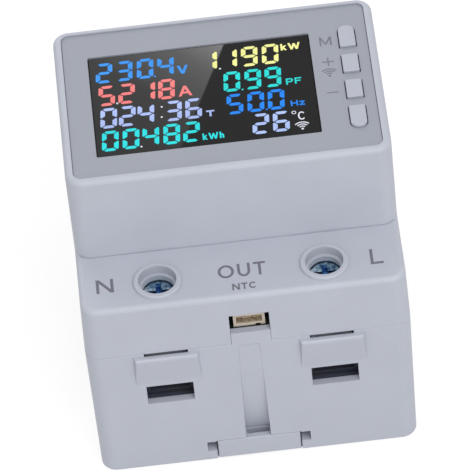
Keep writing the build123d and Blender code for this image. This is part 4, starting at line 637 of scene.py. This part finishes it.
# Printed marks. Each word: its text, the box it fills as x0, x1, y0, y1, its stroke and the gap
# between its letters
PANEL_WORDS = (("M", 23.2, 25.9, 10.5, 13.3, 0.4, LETTER_GAP),
               ("+", 23.15, 25.85, 3.95, 6.5, 0.32, LETTER_GAP),
               ("-", 23.35, 25.85, -4.75, -4.35, 0.3, LETTER_GAP))
OUT_WORDS = (("OUT", -5.05, 5.5, -35.7, -31.75, 0.6, LETTER_GAP),
             ("NTC", -2.3, 3.05, -39.55, -37.6, 0.4, 0.14),
             ("N", -31.85, -28.0, -36.0, -31.9, 0.68, LETTER_GAP),
             ("L", 28.4, 31.25, -36.5, -31.9, 0.66, LETTER_GAP))
IN_WORDS = (("IN", -2.6, 2.6, 31.75, 35.7, 0.6, 0.4),
            ("N", -31.85, -28.0, 31.9, 36.0, 0.68, LETTER_GAP),
            ("L", 28.4, 31.25, 31.4, 36.0, 0.66, LETTER_GAP))

mesh = bmesh.new()
for *fitted, gap in PANEL_WORDS:
    words(mesh, *fitted, PANEL_TOP, gap)
signal(mesh, *PANEL_SIGNAL, PANEL_TOP)
piece("panel_marks", mesh, ink("panel_ink", linear(112, 114, 124)))

ink_look = ink("print_ink", linear(112, 112, 122))
for name, rows in (("out_marks", OUT_WORDS), ("in_marks", IN_WORDS)):
    mesh = bmesh.new()
    for *fitted, gap in rows:
        words(mesh, *fitted, SHOULDER_TOP, gap)
    piece(name, mesh, ink_look)


# Camera: its place, the directions of the frame's right and down sides, and its focal length
CAMERA_PLACE = Vector((-8.7487, -833.2349, 875.4388)) * MM
CAMERA_RIGHT = Vector((0.99346, -0.08633, -0.07473))
CAMERA_DOWN = Vector((-0.11394, -0.70771, -0.69726))
FRAME_PIXELS = 470
FOCAL_PIXELS = 5252.14
SENSOR = 36.0
NEAREST = 0.05
FARTHEST = 20.0

right = CAMERA_RIGHT.normalized()
back = right.cross(-CAMERA_DOWN).normalized()
up = back.cross(right)
camera_data = bpy.data.cameras.new("camera")
camera_data.sensor_width = SENSOR
camera_data.sensor_fit = "HORIZONTAL"
camera_data.lens = FOCAL_PIXELS / FRAME_PIXELS * SENSOR
camera_data.clip_start = NEAREST
camera_data.clip_end = FARTHEST
camera = bpy.data.objects.new("camera", camera_data)
camera.matrix_world = Matrix.Translation(CAMERA_PLACE) @ Matrix((right, up, back)).transposed().to_4x4()
bpy.context.scene.collection.objects.link(camera)
bpy.context.scene.camera = camera


# Floor, world and lamps
def seen_directly(tree):
    """1 for rays from the camera, from gloss and through glass, 0 for the rest."""
    path = tree.nodes.new("ShaderNodeLightPath")
    total = path.outputs["Is Camera Ray"]
    for name in ("Is Glossy Ray", "Is Transmission Ray"):
        total = calculated(tree, "MAXIMUM", total, path.outputs[name])
    return total


WORLD_LIGHT = 0.68
# The floor glows white with a share of its light where it is seen directly, so that the rest of it
# keeps the part's shadow. It lies just below the part, and its side and drop are in metres
FLOOR_SHARE = 0.62
FLOOR_GLOW = 1.33
FLOOR_COLOUR = (0.6, 0.6, 0.605)
FLOOR_SIDE = 4.0
FLOOR_DROP = 0.0002
# Half the width and length in millimetres of its place under the part that doesn't glow, because the
# gaps beside the clip show it
HIDDEN_HALVES = (("X", 12.5), ("Y", 40.6))


def clear_of_part(tree):
    """The floor's share of glow, with none under the part."""
    place = tree.nodes.new("ShaderNodeTexCoord").outputs["Object"]
    parts = tree.nodes.new("ShaderNodeSeparateXYZ")
    tree.links.new(place, parts.inputs["Vector"])
    beyond = []
    for axis, half in HIDDEN_HALVES:
        size = calculated(tree, "ABSOLUTE", parts.outputs[axis])
        beyond.append(calculated(tree, "GREATER_THAN", size, half * MM))
    return calculated(tree, "MULTIPLY", calculated(tree, "MAXIMUM", *beyond), FLOOR_SHARE)


def emptied(owner):
    """The node tree of a world or material, without its first nodes."""
    owner.use_nodes = True
    owner.node_tree.nodes.clear()
    return owner.node_tree


world = bpy.data.worlds.new("studio")
bpy.context.scene.world = world
tree = emptied(world)
output = tree.nodes.new("ShaderNodeOutputWorld")
mix = tree.nodes.new("ShaderNodeMixShader")
for socket, strength in ((1, WORLD_LIGHT), (2, 1.0)):
    background = tree.nodes.new("ShaderNodeBackground")
    background.inputs["Color"].default_value = rgba(WHITE)
    background.inputs["Strength"].default_value = strength
    tree.links.new(background.outputs[0], mix.inputs[socket])
tree.links.new(seen_directly(tree), mix.inputs[0])
tree.links.new(mix.outputs[0], output.inputs["Surface"])

floor_look = bpy.data.materials.new("floor")
tree = emptied(floor_look)
output = tree.nodes.new("ShaderNodeOutputMaterial")
diffuse = tree.nodes.new("ShaderNodeBsdfDiffuse")
diffuse.inputs["Color"].default_value = rgba(FLOOR_COLOUR)
glow = tree.nodes.new("ShaderNodeEmission")
glow.inputs["Color"].default_value = rgba(WHITE)
glow.inputs["Strength"].default_value = FLOOR_GLOW
mix = tree.nodes.new("ShaderNodeMixShader")
tree.links.new(calculated(tree, "MULTIPLY", seen_directly(tree), clear_of_part(tree)), mix.inputs[0])
tree.links.new(diffuse.outputs[0], mix.inputs[1])
tree.links.new(glow.outputs[0], mix.inputs[2])
tree.links.new(mix.outputs[0], output.inputs["Surface"])

mesh = bmesh.new()
bmesh.ops.create_grid(mesh, x_segments=4, y_segments=4, size=FLOOR_SIDE / 2)
floor = object_of("floor", mesh, floor_look)
floor.location.z = -FLOOR_DROP


def lamp(name, place, aim, size, power):
    """A square soft lamp at a place in metres, turned to its aim."""
    light = bpy.data.lights.new(name, "AREA")
    light.shape = "SQUARE"
    light.size = size
    light.energy = power
    made = bpy.data.objects.new(name, light)
    made.location = place
    made.rotation_euler = (Vector(aim) - Vector(place)).to_track_quat("-Z", "Y").to_euler()
    bpy.context.scene.collection.objects.link(made)


CENTRE_OF_PART = (0.0, 0.0, 0.04)
# Each lamp: its name, its place in metres, its side and its power
LAMPS = (("key_lamp", (0.35, -0.753, 1.104), 0.8, 7.2),
         ("front_lamp", (0.0, -1.3, 0.14), 0.6, 2.7),
         ("back_lamp", (-0.3, 1.1, 0.6), 0.6, 2.5))
for name, place, size, power in LAMPS:
    lamp(name, place, CENTRE_OF_PART, size, power)


# The lens mirrors what stands behind and above the part. A pale card stands there, upright and this
# many metres behind the part's middle, and one of its edges crosses the lens
CARD_REACH = 0.45


def mirrored(x, y):
    """Where the view of a lens point in millimetres, mirrored by the lens, meets the card's plane."""
    eye = Vector((CAMERA_PLACE.x, CAMERA_PLACE.y, 2 * LENS_TOP * MM - CAMERA_PLACE.z))
    point = Vector((x, y, LENS_TOP)) * MM
    direction = point - eye
    return point + direction * ((CARD_REACH - point.y) / direction.y)


# The card's corners as seen on the lens: its edge runs down the lens from right to left
CARD_CORNERS = ((4.8, 22.0), (-13.0, -24.0), (-60.0, -24.0), (-60.0, 22.0))
# The card's strength along the lens's diagonal, x + y in millimetres
CARD_STEPS = ((-35, 1.9), (-23, 2.3), (-13, 2.6), (-9, 3.4), (-1, 4.6), (5, 5.6), (10, 7.7),
              (15, 10.0))
CARD_BRIGHTEST = CARD_STEPS[-1][1]
CARD_SPAN = CARD_STEPS[-1][0] - CARD_STEPS[0][0]

card_look = bpy.data.materials.new("light_card")
tree = emptied(card_look)
output = tree.nodes.new("ShaderNodeOutputMaterial")
glow = tree.nodes.new("ShaderNodeEmission")
place = tree.nodes.new("ShaderNodeTexCoord")
middle = mirrored(0, 0)
offset = tree.nodes.new("ShaderNodeVectorMath")
offset.operation = "SUBTRACT"
offset.inputs[1].default_value = middle
tree.links.new(place.outputs["Object"], offset.inputs[0])
along = tree.nodes.new("ShaderNodeVectorMath")
along.operation = "DOT_PRODUCT"
along.inputs[1].default_value = (1 / (mirrored(1, 0) - middle).x, 0, 1 / (mirrored(0, 1) - middle).z)
tree.links.new(offset.outputs["Vector"], along.inputs[0])
span = tree.nodes.new("ShaderNodeMapRange")
span.inputs["From Min"].default_value = CARD_STEPS[0][0]
span.inputs["From Max"].default_value = CARD_STEPS[-1][0]
tree.links.new(along.outputs["Value"], span.inputs["Value"])
steps = [((at - CARD_STEPS[0][0]) / CARD_SPAN, [strength / CARD_BRIGHTEST] * 3)
         for at, strength in CARD_STEPS]
tree.links.new(layered(tree, span.outputs["Result"], steps), glow.inputs["Color"])
glow.inputs["Strength"].default_value = CARD_BRIGHTEST
tree.links.new(glow.outputs[0], output.inputs["Surface"])

mesh = bmesh.new()
mesh.faces.new([mesh.verts.new(mirrored(x, y)) for x, y in CARD_CORNERS])
card = object_of("light_card", mesh, card_look)
card.visible_camera = False
card.visible_diffuse = False
card.visible_shadow = False

bpy.context.scene.view_settings.view_transform = "Standard"
